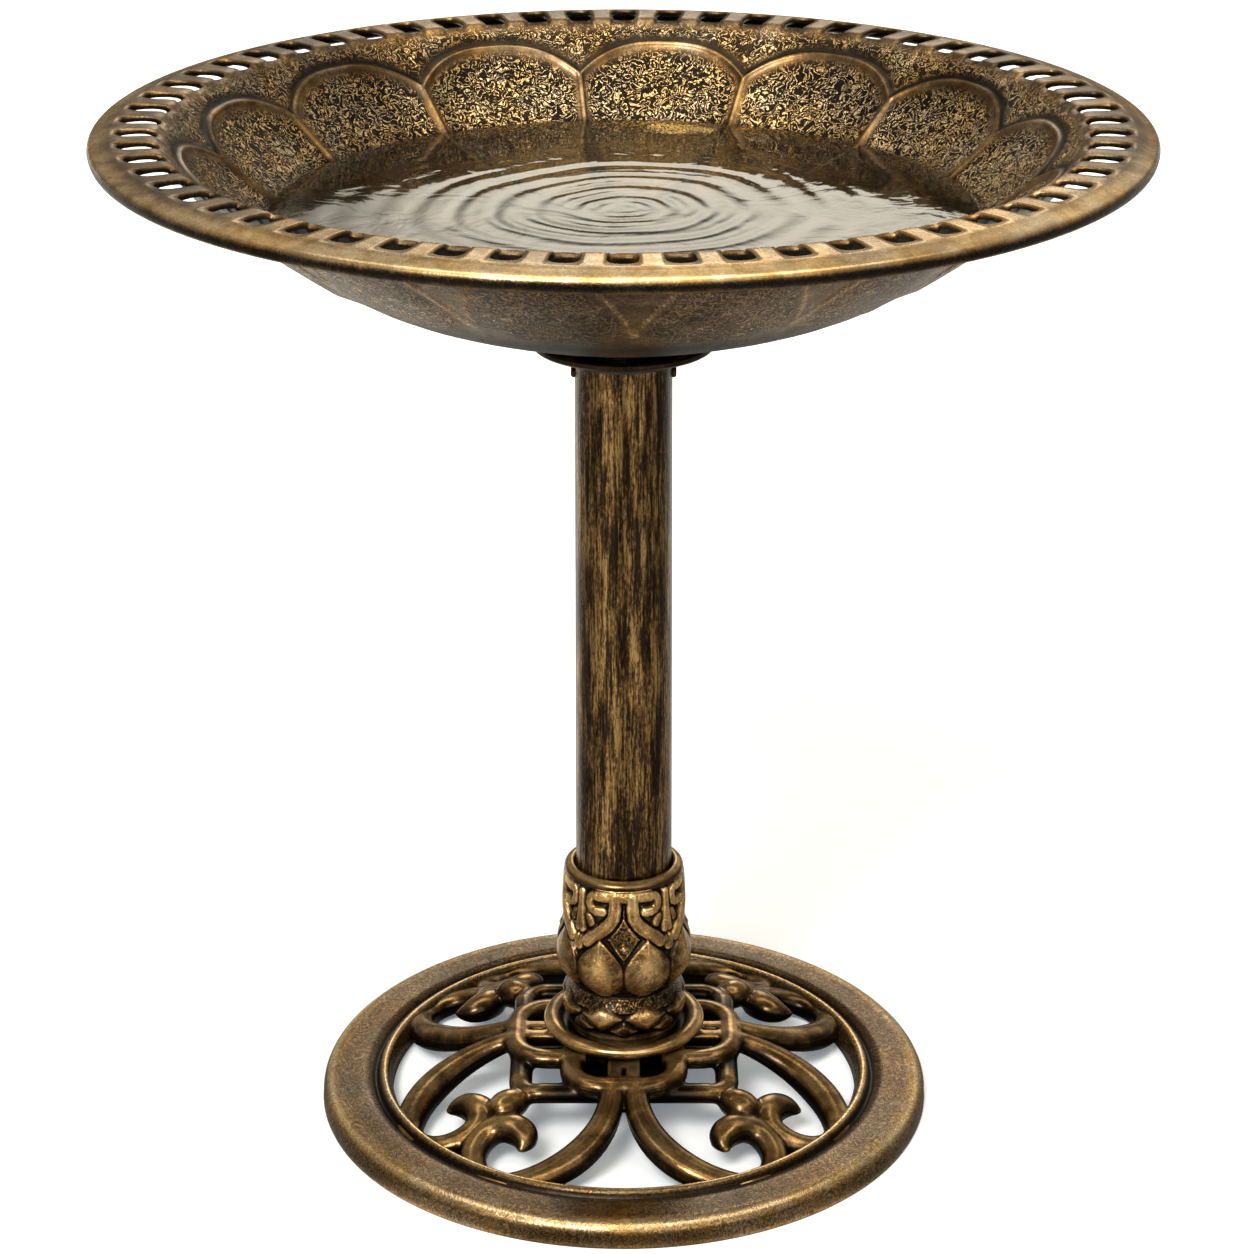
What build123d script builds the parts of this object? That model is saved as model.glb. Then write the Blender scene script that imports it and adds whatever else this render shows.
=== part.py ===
"""Pedestal bird bath: an openwork round base, an ornamented column and a slotted, twist-locked bowl.

The origin is the centre of the base on the ground, +Z is up, and the front faces -Y. Millimetres.
Each function makes one separate piece of the real assembly, and the end of the file writes them all.
"""

from build123d import *

import os
from math import cos, radians, sin

# ---------------------------------------------------------------- driving dimensions
# base
BASE_R = 164.0            # outer radius of the base ring
RING_WIDTH = 38.0         # radial width of the base ring
RING_HEIGHT = 13.5        # height of its flat top
RING_WALL = 3.0           # skin of the hollow ring
RING_ROUND = 5.0          # rounding of its outer top edge
BEAD_R = 3.0              # half-round bead along the ring's inner edge
BEAD_INSET = 2.0          # bead's foot from the ring's inner edge
GROOVE_DEPTH = 1.5        # step between the flat top and the bead's foot
SCROLL_THICK = 9.0        # depth of the scrollwork bars
SCROLL_FALL = 0.37        # slope of the scrollwork from the knot down to the ring
PATTERN_R = 126.0         # ring inner radius that the scroll and knot pattern is drawn for
KNOT_HALF = 60.0          # half the side of the square knot band
KNOT_BAND = 10.0          # width of the knot band
LOOP_HALF = 33.0          # half the width of each D loop
LOOP_REACH = 63.0         # how far a D loop reaches from the axis
LOOP_BACK = 20.0          # where it ends, under the saucer
LOOP_CORNER = 18.0        # rounding of its corners
TONGUE_HALF = 8.5         # half the width of the tongue in the middle of a loop
LOOP_HOLE_DEPTH = 16.0    # radial size of the two holes beside the tongue
LOOP_HOLE_CORNER = 4.0
LOOP_HOLE_SHIFT = 2.0     # how far the holes cut into the loop's outer bar
HUB_TOP = 38.0            # height of the seat that the column stands on
HUB_R = 34.0
HUB_DEPTH = 18.0
KNUCKLE_REACH = 87.0      # distance of each corner knuckle from the axis
KNUCKLE_SIZE = (9.0, 9.5, 7.5)
KNUCKLE_SINK = 4.0        # knuckle's centre below the top of the scrollwork
ARM_SWEEP_R = 54.0        # radius of a scroll arm's first sweep towards the ring
ARM_TURN_R = 21.3         # radius of its turn beside the ring
ARM_CURL_R = 12.7         # radius of the curl that ends it
ARM_TURN_CENTRE = (-57.5, -93.0)
ARM_SWEEP_FROM = 5.0      # directions, in degrees, in which each stretch starts and ends
ARM_SWEEP_TO = -85.0
ARM_CURL_FROM = -220.0
ARM_CURL_TURN = 185.0

# column
TUBE_R_LOW = 25.7         # outer radius at the foot
TUBE_R_HIGH = 24.6        # outer radius at the top
TUBE_WALL = 2.2
TUBE_LENGTH = 376.0
FOOT_FLANGE = 4.0         # flange of the foot plug, under the tube
FOOT_PLUG_LENGTH = 30.0
FOOT_PLUG_WALL = 4.0
FOOT_SCREW_CIRCLE_R = 12.0
FOOT_SCREW_R = 2.1
FOOT_SCREW_GRIP = 10.0    # length of thread in the foot plug
FOOT_HEAD_R = 4.5
FOOT_HEAD_H = 3.0
FOOT_WASHER_R = 5.6
FOOT_WASHER_T = 1.0
FOOT_RECESS = (4.4, 1.1, 1.8)  # length, width and depth of the cross recess in a head

# saucer, urn and its top ring
SAUCER_R = 43.5
SAUCER_HEIGHT = 8.5
SAUCER_FLOOR = 3.5
SAUCER_RIM_W = 3.4        # rounded rim
SAUCER_RIM_H = 3.5
SAUCER_SLOPE = 7.0        # from the outer edge to the foot of the dished inside
URN_HEIGHT = 92.5
URN_SHOULDER_R = 32.5     # waist just under the top ring
URN_SHOULDER_DROP = 8.0
URN_NECK_H = 3.0          # height of the neck that centres the sleeve on the tube
URN_WALL = 2.6
URN_TOP_RING_R = 31.7
URN_TOP_RING_H = 4.5

# column cap and the snap buttons that hold it in the tube
CAP_SPIGOT_LENGTH = 30.0
CAP_SPIGOT_WALL = 2.6
CAP_COLLAR_R = 27.0
CAP_COLLAR_T = 3.0
CAP_POST_R = 20.0
CAP_POST_H = 10.0
CAP_POST_WALL = 4.0
BUTTON_R = 3.0
BUTTON_DROP = 7.0         # button axis below the top of the tube
BUTTON_PROUD = 2.0        # how far a button stands out of the tube
BUTTON_FLANGE_R = 4.5
BUTTON_FLANGE_T = 1.0
CLIP_T = 0.8
CLIP_WIDTH = 8.0
CLIP_LEG = 21.0

# lock ring and its retainer
LOCK_R = 46.5
LOCK_RIM_W = 3.0
LOCK_RIM_H = 4.0
LOCK_FLOOR_T = 2.8
LOCK_RISE = 4.2           # how far the rim's underside stands above the floor's
RETAINER_T = 1.3
RETAINER_WIDTH = 4.5
RETAINER_SPLIT = 30.0     # degrees left open
RETAINER_BITE = 1.5       # depth of the groove in the cap's post

# bayonet between the bowl's hub and the lock ring
BAYONET_COUNT = 3
BAYONET_SPAN = 44.0       # degrees
HUB_SKIRT_WALL = 3.6
HUB_FLANGE_EDGE = 4.5     # flange beyond the circle of the hub screws
HUB_FLANGE_T = 3.3
TAB_REACH = 5.0           # how far a tab stands out of the skirt
TAB_H = 3.4
CLAW_WALL = 3.0
CLAW_H = 2.5
SEAT_PAD_T = 2.7
HUB_SCREW_R = 1.7
HUB_SCREW_GRIP = 4.0
HUB_HEAD_R = 3.2
HUB_HEAD_H = 2.2
HUB_RECESS = (3.4, 0.9, 1.2)

# bowl
BOWL_R = 260.0
BOWL_DEPTH = 106.5        # from the foot ring to the crown of the rim
BOWL_WALL = 3.0
FOOT_RING_W = 3.5
FOOT_RING_H = 3.8
FLOOR_T = 6.0
RIM_WIDTH = 38.0
RIM_T = 3.2
LIP_DROP = 9.7            # how far the lip hangs below the crown
SLOT_COUNT = 60
SLOT_LENGTH = 21.0
SLOT_WIDTH = 14.0
SLOT_CORNER = 6.0
SLOT_INSET = 13.6         # from the bowl's outer edge to the slot's outer end
# rise of the bowl's wall from foot ring to rim, as fractions of its run and of its rise
WALL_SHAPE = [
    (0.0, 0.0),
    (0.18, 0.115),
    (0.35, 0.21),
    (0.52, 0.335),
    (0.70, 0.55),
    (0.83, 0.73),
    (1.0, 1.0),
]
SHOULDER_DROP = 4.5       # top of the wall below the crown of the rim
LIP_RUN = 14.0            # radial width of the slope from crown to lip

# clearances
SLIDE_GAP = 0.3           # between pieces that move past each other
FIT_GAP = 0.15            # radial, between pieces pushed together by hand
SCREW_GAP = 0.6           # radial, around a screw that passes through
CLAW_GAP = 0.5            # between a locked claw and its tab
TAB_SIDE_GAP = 1.0        # between claw and skirt
BUTTON_GAP = 0.3
TAB_END_GAP = 1.5         # between a tab's end and the claw's wall
HEAD_GAP = 0.9            # between the claws and the heads of the hub screws
FLANGE_GAP = 2.0          # between the hub's flange and the bowl's foot ring

# ---------------------------------------------------------------- derived places
RING_INNER_R = BASE_R - RING_WIDTH
PATTERN_FIT = RING_INNER_R / PATTERN_R
KNOT_TOP = HUB_TOP - 1.3
KNOT_FLAT_R = (KNOT_HALF + 2.0) * PATTERN_FIT
SCROLL_DROP = SCROLL_FALL * (RING_INNER_R - KNOT_FLAT_R)
TUBE_FOOT = HUB_TOP + FOOT_FLANGE
TUBE_TOP = TUBE_FOOT + TUBE_LENGTH
SAUCER_TOP = HUB_TOP + SAUCER_HEIGHT
URN_FOOT = HUB_TOP + SAUCER_FLOOR
URN_TOP = URN_FOOT + URN_HEIGHT
BUTTON_Z = TUBE_TOP - BUTTON_DROP
COLLAR_TOP = TUBE_TOP + CAP_COLLAR_T
POST_TOP = COLLAR_TOP + CAP_POST_H
LOCK_FOOT = COLLAR_TOP + SLIDE_GAP
LOCK_FLOOR_TOP = LOCK_FOOT + LOCK_FLOOR_T
RETAINER_Z = LOCK_FLOOR_TOP + SLIDE_GAP + 0.1
SKIRT_BOTTOM = RETAINER_Z + RETAINER_T + 3 * SLIDE_GAP
SKIRT_R = CAP_POST_R + SLIDE_GAP + HUB_SKIRT_WALL
TAB_R = SKIRT_R + TAB_REACH
TAB_TOP = SKIRT_BOTTOM + TAB_H
CLAW_INNER_R = SKIRT_R + TAB_SIDE_GAP
CLAW_WALL_R = TAB_R + TAB_END_GAP
LOCK_FLOOR_R = CLAW_WALL_R + CLAW_WALL + 0.6
HUB_SCREW_CIRCLE_R = CLAW_WALL_R + CLAW_WALL + HEAD_GAP + HUB_HEAD_R
HUB_FLANGE_R = HUB_SCREW_CIRCLE_R + HUB_FLANGE_EDGE
FOOT_RING_R = HUB_FLANGE_R + FLANGE_GAP + FOOT_RING_W
CLAW_BOTTOM = TAB_TOP + CLAW_GAP
CLAW_TOP = CLAW_BOTTOM + CLAW_H
PAD_TOP = POST_TOP + SEAT_PAD_T
HUB_FLANGE_Z = PAD_TOP + SLIDE_GAP
FLOOR_Z = HUB_FLANGE_Z + HUB_FLANGE_T
BOWL_FOOT = FLOOR_Z - FOOT_RING_H
CROWN_Z = BOWL_FOOT + BOWL_DEPTH


def tube_radius(z):
    """Outer radius of the drafted column tube at a height."""
    share = (z - TUBE_FOOT) / TUBE_LENGTH
    return TUBE_R_LOW + (TUBE_R_HIGH - TUBE_R_LOW) * share


def turned(*edges):
    """A solid turned about Z from outline edges given as (radius, height)."""
    return revolve(Plane.XZ * make_face(edges), Axis.Z, 360)


def turned_polygon(*points):
    """A solid turned about Z from the corners of its section."""
    return turned(Polyline(*points, close=True))


def ring(inner, outer, low, high):
    """A plain round ring between two radii and two heights."""
    return turned_polygon((inner, low), (outer, low), (outer, high), (inner, high))


def disc(radius, low, high, x=0.0, y=0.0):
    """An upright cylinder between two heights."""
    return Pos(x, y, low) * Cylinder(radius, high - low, align=(Align.CENTER, Align.CENTER, Align.MIN))


def sector(span, radius, low, high):
    """A wedge of a given angle, centred on +X, used to cut rings into tabs and claws."""
    half = radians(span / 2)
    reach = 2 * radius
    corners = [(0, 0), (reach * cos(half), -reach * sin(half)), (reach * cos(half), reach * sin(half))]
    return Pos(0, 0, low) * extrude(make_face(Polyline(*corners, close=True)), high - low)


def around(count, piece, start=0.0):
    """Copies of a piece set evenly about Z."""
    return [Rot(0, 0, start + 360 * i / count) * piece for i in range(count)]


# ---------------------------------------------------------------- base
def base_ring():
    """The hollow ring that stands on the ground, with its bead and groove."""
    bead_foot = RING_INNER_R + BEAD_INSET
    bead_centre = bead_foot + BEAD_R
    groove = bead_centre + BEAD_R
    ledge = RING_HEIGHT - GROOVE_DEPTH
    ceiling = RING_HEIGHT - RING_WALL
    corner = ceiling - 2
    outer_skin = BASE_R - RING_WALL
    inner_skin = RING_INNER_R + RING_WALL
    outer_round = (BASE_R, RING_HEIGHT - RING_ROUND)
    top_round = (BASE_R - RING_ROUND, RING_HEIGHT)
    return turned(
        Polyline(outer_round, (BASE_R, 0), (outer_skin, 0), (outer_skin, corner), (outer_skin - 3, ceiling)),
        Polyline((outer_skin - 3, ceiling), (bead_centre, ceiling), (inner_skin, corner), (inner_skin, 0)),
        Polyline((inner_skin, 0), (RING_INNER_R, 0), (RING_INNER_R, ledge), (bead_foot, ledge)),
        ThreePointArc((bead_foot, ledge), (bead_centre, ledge + BEAD_R), (groove, ledge)),
        Polyline((groove, ledge), (groove + 2, RING_HEIGHT), top_round),
        RadiusArc(top_round, outer_round, RING_ROUND),
    )


def scroll_dome():
    """The dished layer that the scrollwork lies in: flat over the knot, then falling to the ring."""
    top = [(0, KNOT_TOP), (KNOT_FLAT_R, KNOT_TOP), (RING_INNER_R, KNOT_TOP - SCROLL_DROP)]
    edge = RING_INNER_R + RING_WALL
    low = [(r, z - SCROLL_THICK) for r, z in reversed(top)]
    rim = [(edge, KNOT_TOP - SCROLL_DROP - 1), (edge, KNOT_TOP - SCROLL_DROP - SCROLL_THICK)]
    return turned_polygon(*top, *rim, *low)


def ribbon(path, widths):
    """A flat bar of changing width along a list of (x, y, heading in degrees) stations."""
    left, right = [], []
    for (x, y, heading), width in zip(path, widths):
        side = radians(heading + 90)
        left.append((x + width / 2 * cos(side), y + width / 2 * sin(side)))
        right.append((x - width / 2 * cos(side), y - width / 2 * sin(side)))
    end_x, end_y, end_heading = path[-1]
    reach = widths[-1] / 2
    nose = (end_x + reach * cos(radians(end_heading)), end_y + reach * sin(radians(end_heading)))
    return make_face(
        [
            Spline(*left),
            ThreePointArc(left[-1], nose, right[-1]),
            Spline(*right),
            Line(right[0], left[0]),
        ]
    )


def arc_stations(centre, radius, start, end, count):
    """Stations along a circular arc, turning the way that its angles run."""
    stations = []
    for i in range(count):
        angle = start + (end - start) * i / (count - 1)
        heading = angle + (90 if end > start else -90)
        x = centre[0] + radius * cos(radians(angle))
        y = centre[1] + radius * sin(radians(angle))
        stations.append((x, y, heading))
    return stations


def scroll_arm():
    """One C-scroll: out from the knot, along the ring, and back in a volute that curls on itself."""
    turn_x, turn_y = ARM_TURN_CENTRE
    sweep_gap = ARM_SWEEP_R - ARM_TURN_R
    sweep_centre = (
        turn_x - sweep_gap * cos(radians(ARM_SWEEP_TO)),
        turn_y - sweep_gap * sin(radians(ARM_SWEEP_TO)),
    )
    curl_gap = ARM_TURN_R - ARM_CURL_R
    curl_centre = (
        turn_x + curl_gap * cos(radians(ARM_CURL_FROM)),
        turn_y + curl_gap * sin(radians(ARM_CURL_FROM)),
    )
    curl_to = ARM_CURL_FROM - ARM_CURL_TURN
    path = arc_stations(sweep_centre, ARM_SWEEP_R, ARM_SWEEP_FROM, ARM_SWEEP_TO, 8)
    path += arc_stations(ARM_TURN_CENTRE, ARM_TURN_R, ARM_SWEEP_TO, ARM_CURL_FROM, 8)[1:]
    path += arc_stations(curl_centre, ARM_CURL_R, ARM_CURL_FROM, curl_to, 8)[1:]
    count = len(path)
    widths = [arm_width(i / (count - 1)) for i in range(count)]
    return ribbon(path, widths)


def arm_width(share):
    """Bar width along a scroll arm: swelling towards the ring, waisted in the turn, full in the curl."""
    stations = [(0.0, 11.5), (0.32, 15.5), (0.5, 13.5), (0.72, 12.5), (0.9, 14.0), (1.0, 8.0)]
    for (a, low), (b, high) in zip(stations, stations[1:]):
        if share <= b:
            return low + (high - low) * (share - a) / (b - a)
    return stations[-1][1]


def knot_plan():
    """Plan of the square band and the four D loops that pass through it under the saucer."""
    band = RectangleRounded(2 * KNOT_HALF, 2 * KNOT_HALF, KNOT_BAND)
    band -= RectangleRounded(2 * (KNOT_HALF - KNOT_BAND), 2 * (KNOT_HALF - KNOT_BAND), KNOT_BAND / 2)
    loop_depth = LOOP_REACH - LOOP_BACK
    loop = Pos(0, -LOOP_REACH + loop_depth / 2) * RectangleRounded(2 * LOOP_HALF, loop_depth, LOOP_CORNER)
    hole_width = LOOP_HALF - KNOT_BAND - TONGUE_HALF
    y = -LOOP_REACH + KNOT_BAND + LOOP_HOLE_DEPTH / 2 - LOOP_HOLE_SHIFT
    for side in (-1, 1):
        x = side * (TONGUE_HALF + hole_width / 2)
        loop -= Pos(x, y) * RectangleRounded(hole_width, LOOP_HOLE_DEPTH, LOOP_HOLE_CORNER)
    plan = band
    for piece in around(4, loop):
        plan += piece
    return plan


def base():
    """The base moulding: ring, eight scroll arms, knot, corner knuckles and the central hub."""
    tall = 2 * HUB_TOP
    arm = scroll_arm()
    twin = mirror(arm, Plane(origin=(0, 0, 0), z_dir=(1, -1, 0)))
    body = extrude(scale(knot_plan(), PATTERN_FIT), tall)
    for flat in (arm, twin):
        bar = extrude(scale(flat, PATTERN_FIT), tall, dir=(0, 0, 1))
        for piece in around(4, bar):
            body += piece
    body &= scroll_dome()
    knuckle_reach = KNUCKLE_REACH * PATTERN_FIT
    knuckle_z = KNOT_TOP - SCROLL_FALL * (knuckle_reach - KNOT_FLAT_R) - KNUCKLE_SINK
    knuckle = Pos(-knuckle_reach, 0, knuckle_z) * scale(Sphere(1), KNUCKLE_SIZE)
    for piece in around(4, knuckle, 45):
        body += piece
    body += base_ring()
    body += disc(HUB_R, HUB_TOP - HUB_DEPTH, HUB_TOP)
    for hole in around(3, disc(FOOT_SCREW_R + SCREW_GAP, 0, tall, FOOT_SCREW_CIRCLE_R)):
        body -= hole
    return body


# ---------------------------------------------------------------- column
def column_tube():
    """The drafted column tube, drilled across for the snap buttons."""
    outer = [(TUBE_R_LOW, TUBE_FOOT), (TUBE_R_HIGH, TUBE_TOP)]
    inner = [(TUBE_R_HIGH - TUBE_WALL, TUBE_TOP), (TUBE_R_LOW - TUBE_WALL, TUBE_FOOT)]
    return turned_polygon(*outer, *inner) - button_bore()


def button_bore():
    """The cross hole that both snap buttons work in."""
    return Pos(0, 0, BUTTON_Z) * Rot(0, 90, 0) * Cylinder(BUTTON_R + BUTTON_GAP, 4 * TUBE_R_LOW)


def column_foot():
    """The plug in the tube's lower end, screwed down on the hub."""
    plug_top = TUBE_FOOT + FOOT_PLUG_LENGTH
    plug_r = tube_radius(plug_top) - TUBE_WALL - FIT_GAP
    floor = TUBE_FOOT + FOOT_SCREW_GRIP + 2.0
    body = disc(TUBE_R_LOW, HUB_TOP, TUBE_FOOT) + disc(plug_r, TUBE_FOOT, plug_top)
    body -= disc(plug_r - FOOT_PLUG_WALL, floor, plug_top)
    for hole in around(3, disc(FOOT_SCREW_R, HUB_TOP, TUBE_FOOT + FOOT_SCREW_GRIP, FOOT_SCREW_CIRCLE_R)):
        body -= hole
    return body


def foot_screws():
    """Three screws up through the hub into the foot plug."""
    seat = HUB_TOP - HUB_DEPTH - FOOT_WASHER_T
    screw = disc(FOOT_SCREW_R, seat, TUBE_FOOT + FOOT_SCREW_GRIP, FOOT_SCREW_CIRCLE_R)
    head = disc(FOOT_HEAD_R, seat - FOOT_HEAD_H, seat, FOOT_SCREW_CIRCLE_R)
    head = fillet(head.edges().group_by(Axis.Z)[0], 1.2)
    recess = Pos(FOOT_SCREW_CIRCLE_R, 0, seat - FOOT_HEAD_H) * cross_recess(*FOOT_RECESS)
    return Compound(children=around(3, screw + head - recess))


def cross_recess(length, width, depth):
    """The cross recess in a screw's head."""
    return extrude(Rectangle(length, width) + Rectangle(width, length), depth)


def foot_washers():
    """The washers under those screws' heads."""
    low = HUB_TOP - HUB_DEPTH - FOOT_WASHER_T
    washer = disc(FOOT_WASHER_R, low, low + FOOT_WASHER_T, FOOT_SCREW_CIRCLE_R)
    washer -= disc(FOOT_SCREW_R + 0.1, low, low + FOOT_WASHER_T, FOOT_SCREW_CIRCLE_R)
    return Compound(children=around(3, washer))


def saucer():
    """The dished saucer that the urn stands in, around the column's foot."""
    bore = TUBE_R_LOW + SLIDE_GAP
    rim_round = SAUCER_TOP - 1.2
    rim_outer = (SAUCER_R, rim_round)
    rim_inner = (SAUCER_R - SAUCER_RIM_W, rim_round)
    return turned(
        Polyline((bore, HUB_TOP), (HUB_R, HUB_TOP), (SAUCER_R, SAUCER_TOP - SAUCER_RIM_H), rim_outer),
        RadiusArc(rim_outer, rim_inner, -SAUCER_RIM_W / 2),
        Polyline(rim_inner, (SAUCER_R - SAUCER_SLOPE, URN_FOOT), (bore, URN_FOOT), (bore, HUB_TOP)),
    )


def urn_section():
    """Outer outline of the urn: leaf cup, waist and swelling body, as (radius, share of height)."""
    leaf_cup = [(30.5, 0.0), (33.4, 0.1), (34.0, 0.17), (31.5, 0.27)]
    waist_and_body = [(28.0, 0.33), (33.5, 0.4), (37.0, 0.5), (36.0, 0.6)]
    return leaf_cup + waist_and_body


def urn_sleeve():
    """The urn-shaped sleeve around the foot of the column, a shell with a neck that centres it."""
    outline = [(r, URN_FOOT + share * URN_HEIGHT) for r, share in urn_section()]
    shoulder = (URN_SHOULDER_R, URN_TOP - URN_SHOULDER_DROP)
    neck_r = tube_radius(URN_TOP) + SLIDE_GAP
    top_inner = (URN_SHOULDER_R - URN_WALL, URN_TOP - URN_NECK_H)
    inside = [(max(r - URN_WALL, TUBE_R_LOW + SLIDE_GAP), z) for r, z in outline]
    return turned(
        Spline(*outline, shoulder),
        Polyline(shoulder, (URN_TOP_RING_R - 0.6, URN_TOP), (neck_r, URN_TOP), (neck_r, top_inner[1])),
        Polyline((neck_r, top_inner[1]), top_inner, inside[-1]),
        Polyline(*reversed(inside)),
        Line(inside[0], outline[0]),
    )


def urn_top_ring():
    """The rolled ring that closes the urn around the tube."""
    inner = tube_radius(URN_TOP) + SLIDE_GAP
    section = Pos((inner + URN_TOP_RING_R) / 2, URN_TOP + URN_TOP_RING_H / 2)
    section *= RectangleRounded(URN_TOP_RING_R - inner, URN_TOP_RING_H, 1.6)
    return revolve(Plane.XZ * section, Axis.Z, 360)


# ---------------------------------------------------------------- column cap
def column_cap():
    """The cap: a spigot in the tube, a collar on its top, and the post that carries bowl and lock ring."""
    spigot_r = TUBE_R_HIGH - TUBE_WALL - FIT_GAP
    body = ring(spigot_r - CAP_SPIGOT_WALL, spigot_r, TUBE_TOP - CAP_SPIGOT_LENGTH, TUBE_TOP)
    body += disc(CAP_COLLAR_R, TUBE_TOP, COLLAR_TOP)
    body += ring(CAP_POST_R - CAP_POST_WALL, CAP_POST_R, COLLAR_TOP, POST_TOP)
    groove_low = RETAINER_Z - 0.1
    body -= ring(CAP_POST_R - RETAINER_BITE, CAP_POST_R + 1, groove_low, groove_low + RETAINER_T + 0.2)
    return body - button_bore()


def snap_clip():
    """The U-shaped leaf spring that pushes the two buttons outwards."""
    outer_r = clip_reach()
    inner_r = outer_r - CLIP_T
    top = BUTTON_Z + BUTTON_FLANGE_R
    bend = top - CLIP_LEG
    leg = Pos(outer_r - CLIP_T / 2, (top + bend) / 2) * Rectangle(CLIP_T, CLIP_LEG)
    upper_half = Pos(0, outer_r) * Rectangle(2 * outer_r, 2 * outer_r)
    arch = Pos(0, bend) * (Circle(outer_r) - Circle(inner_r) - upper_half)
    strip = arch + leg + mirror(leg, Plane.YZ)
    return extrude(Plane.XZ * strip, CLIP_WIDTH / 2, both=True)


def clip_reach():
    """How far the clip's legs stand from the axis."""
    return TUBE_R_HIGH - TUBE_WALL - FIT_GAP - CAP_SPIGOT_WALL - BUTTON_FLANGE_T - 0.9


def snap_button(side):
    """One snap button, with its flange against the clip and its nose out of the tube."""
    back = clip_reach()
    nose = tube_radius(BUTTON_Z) + BUTTON_PROUD
    button = disc(BUTTON_FLANGE_R, back, back + BUTTON_FLANGE_T) + disc(BUTTON_R, back, nose)
    button = fillet(button.edges().group_by(Axis.Z)[-1], 1.3)
    return Pos(0, 0, BUTTON_Z) * Rot(0, 90 * side, 0) * button


def retainer_ring():
    """The split ring in the post's groove that keeps the lock ring on."""
    inner = CAP_POST_R - RETAINER_BITE + 0.1
    body = ring(inner, inner + RETAINER_WIDTH, RETAINER_Z, RETAINER_Z + RETAINER_T)
    return body - sector(RETAINER_SPLIT, inner + RETAINER_WIDTH, RETAINER_Z, RETAINER_Z + RETAINER_T)


def seat_pad():
    """The soft ring on the post that the bowl rests on."""
    return ring(CAP_POST_R - CAP_POST_WALL, CAP_POST_R - 0.3, POST_TOP, PAD_TOP)


def lock_ring():
    """The hand ring under the bowl, with three claws that hook over the hub's tabs."""
    bore = CAP_POST_R + SLIDE_GAP
    rim_low = LOCK_FOOT + LOCK_RISE
    rim_top = rim_low + LOCK_RIM_H
    rim_inner = LOCK_R - LOCK_RIM_W
    body = turned_polygon(
        (bore, LOCK_FOOT),
        (LOCK_FLOOR_R - LOCK_FLOOR_T, LOCK_FOOT),
        (LOCK_R - 1, rim_low),
        (LOCK_R, rim_low + 1),
        (LOCK_R, rim_top - 1),
        (LOCK_R - 1, rim_top),
        (rim_inner, rim_top),
        (rim_inner - 1, rim_low + LOCK_FLOOR_T - 0.6),
        (LOCK_FLOOR_R, LOCK_FLOOR_TOP),
        (bore, LOCK_FLOOR_TOP),
    )
    claw = ring(CLAW_WALL_R, CLAW_WALL_R + CLAW_WALL, LOCK_FLOOR_TOP - 0.5, CLAW_TOP)
    claw += ring(CLAW_INNER_R, CLAW_WALL_R + CLAW_WALL, CLAW_BOTTOM, CLAW_TOP)
    claw &= sector(BAYONET_SPAN, LOCK_R, LOCK_FOOT, CLAW_TOP)
    for piece in around(BAYONET_COUNT, claw, 180 / BAYONET_COUNT):
        body += piece
    return body


# ---------------------------------------------------------------- bowl
def bowl_hub():
    """The bayonet hub under the bowl: flange, skirt around the post, and three tabs."""
    body = disc(HUB_FLANGE_R, HUB_FLANGE_Z, FLOOR_Z)
    body += ring(CAP_POST_R + SLIDE_GAP, SKIRT_R, SKIRT_BOTTOM, HUB_FLANGE_Z)
    tab = ring(SKIRT_R - 0.5, TAB_R, SKIRT_BOTTOM, TAB_TOP)
    tab &= sector(BAYONET_SPAN, TAB_R, SKIRT_BOTTOM, TAB_TOP)
    for piece in around(BAYONET_COUNT, tab):
        body += piece
    for hole in around(4, disc(HUB_SCREW_R + SCREW_GAP, HUB_FLANGE_Z, FLOOR_Z, HUB_SCREW_CIRCLE_R), 45):
        body -= hole
    return body


def hub_screws():
    """Four screws that hold the hub to the bowl's floor."""
    screw = disc(HUB_SCREW_R, HUB_FLANGE_Z, FLOOR_Z + HUB_SCREW_GRIP, HUB_SCREW_CIRCLE_R)
    head = disc(HUB_HEAD_R, HUB_FLANGE_Z - HUB_HEAD_H, HUB_FLANGE_Z, HUB_SCREW_CIRCLE_R)
    head = fillet(head.edges().group_by(Axis.Z)[0], 0.9)
    recess = Pos(HUB_SCREW_CIRCLE_R, 0, HUB_FLANGE_Z - HUB_HEAD_H) * cross_recess(*HUB_RECESS)
    return Compound(children=around(4, screw + head - recess, 45))


def wall_points(run_start, run_end, low, high):
    """Points of the bowl's wall between two radii and two heights."""
    return [(run_start + u * (run_end - run_start), low + v * (high - low)) for u, v in WALL_SHAPE]


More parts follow.
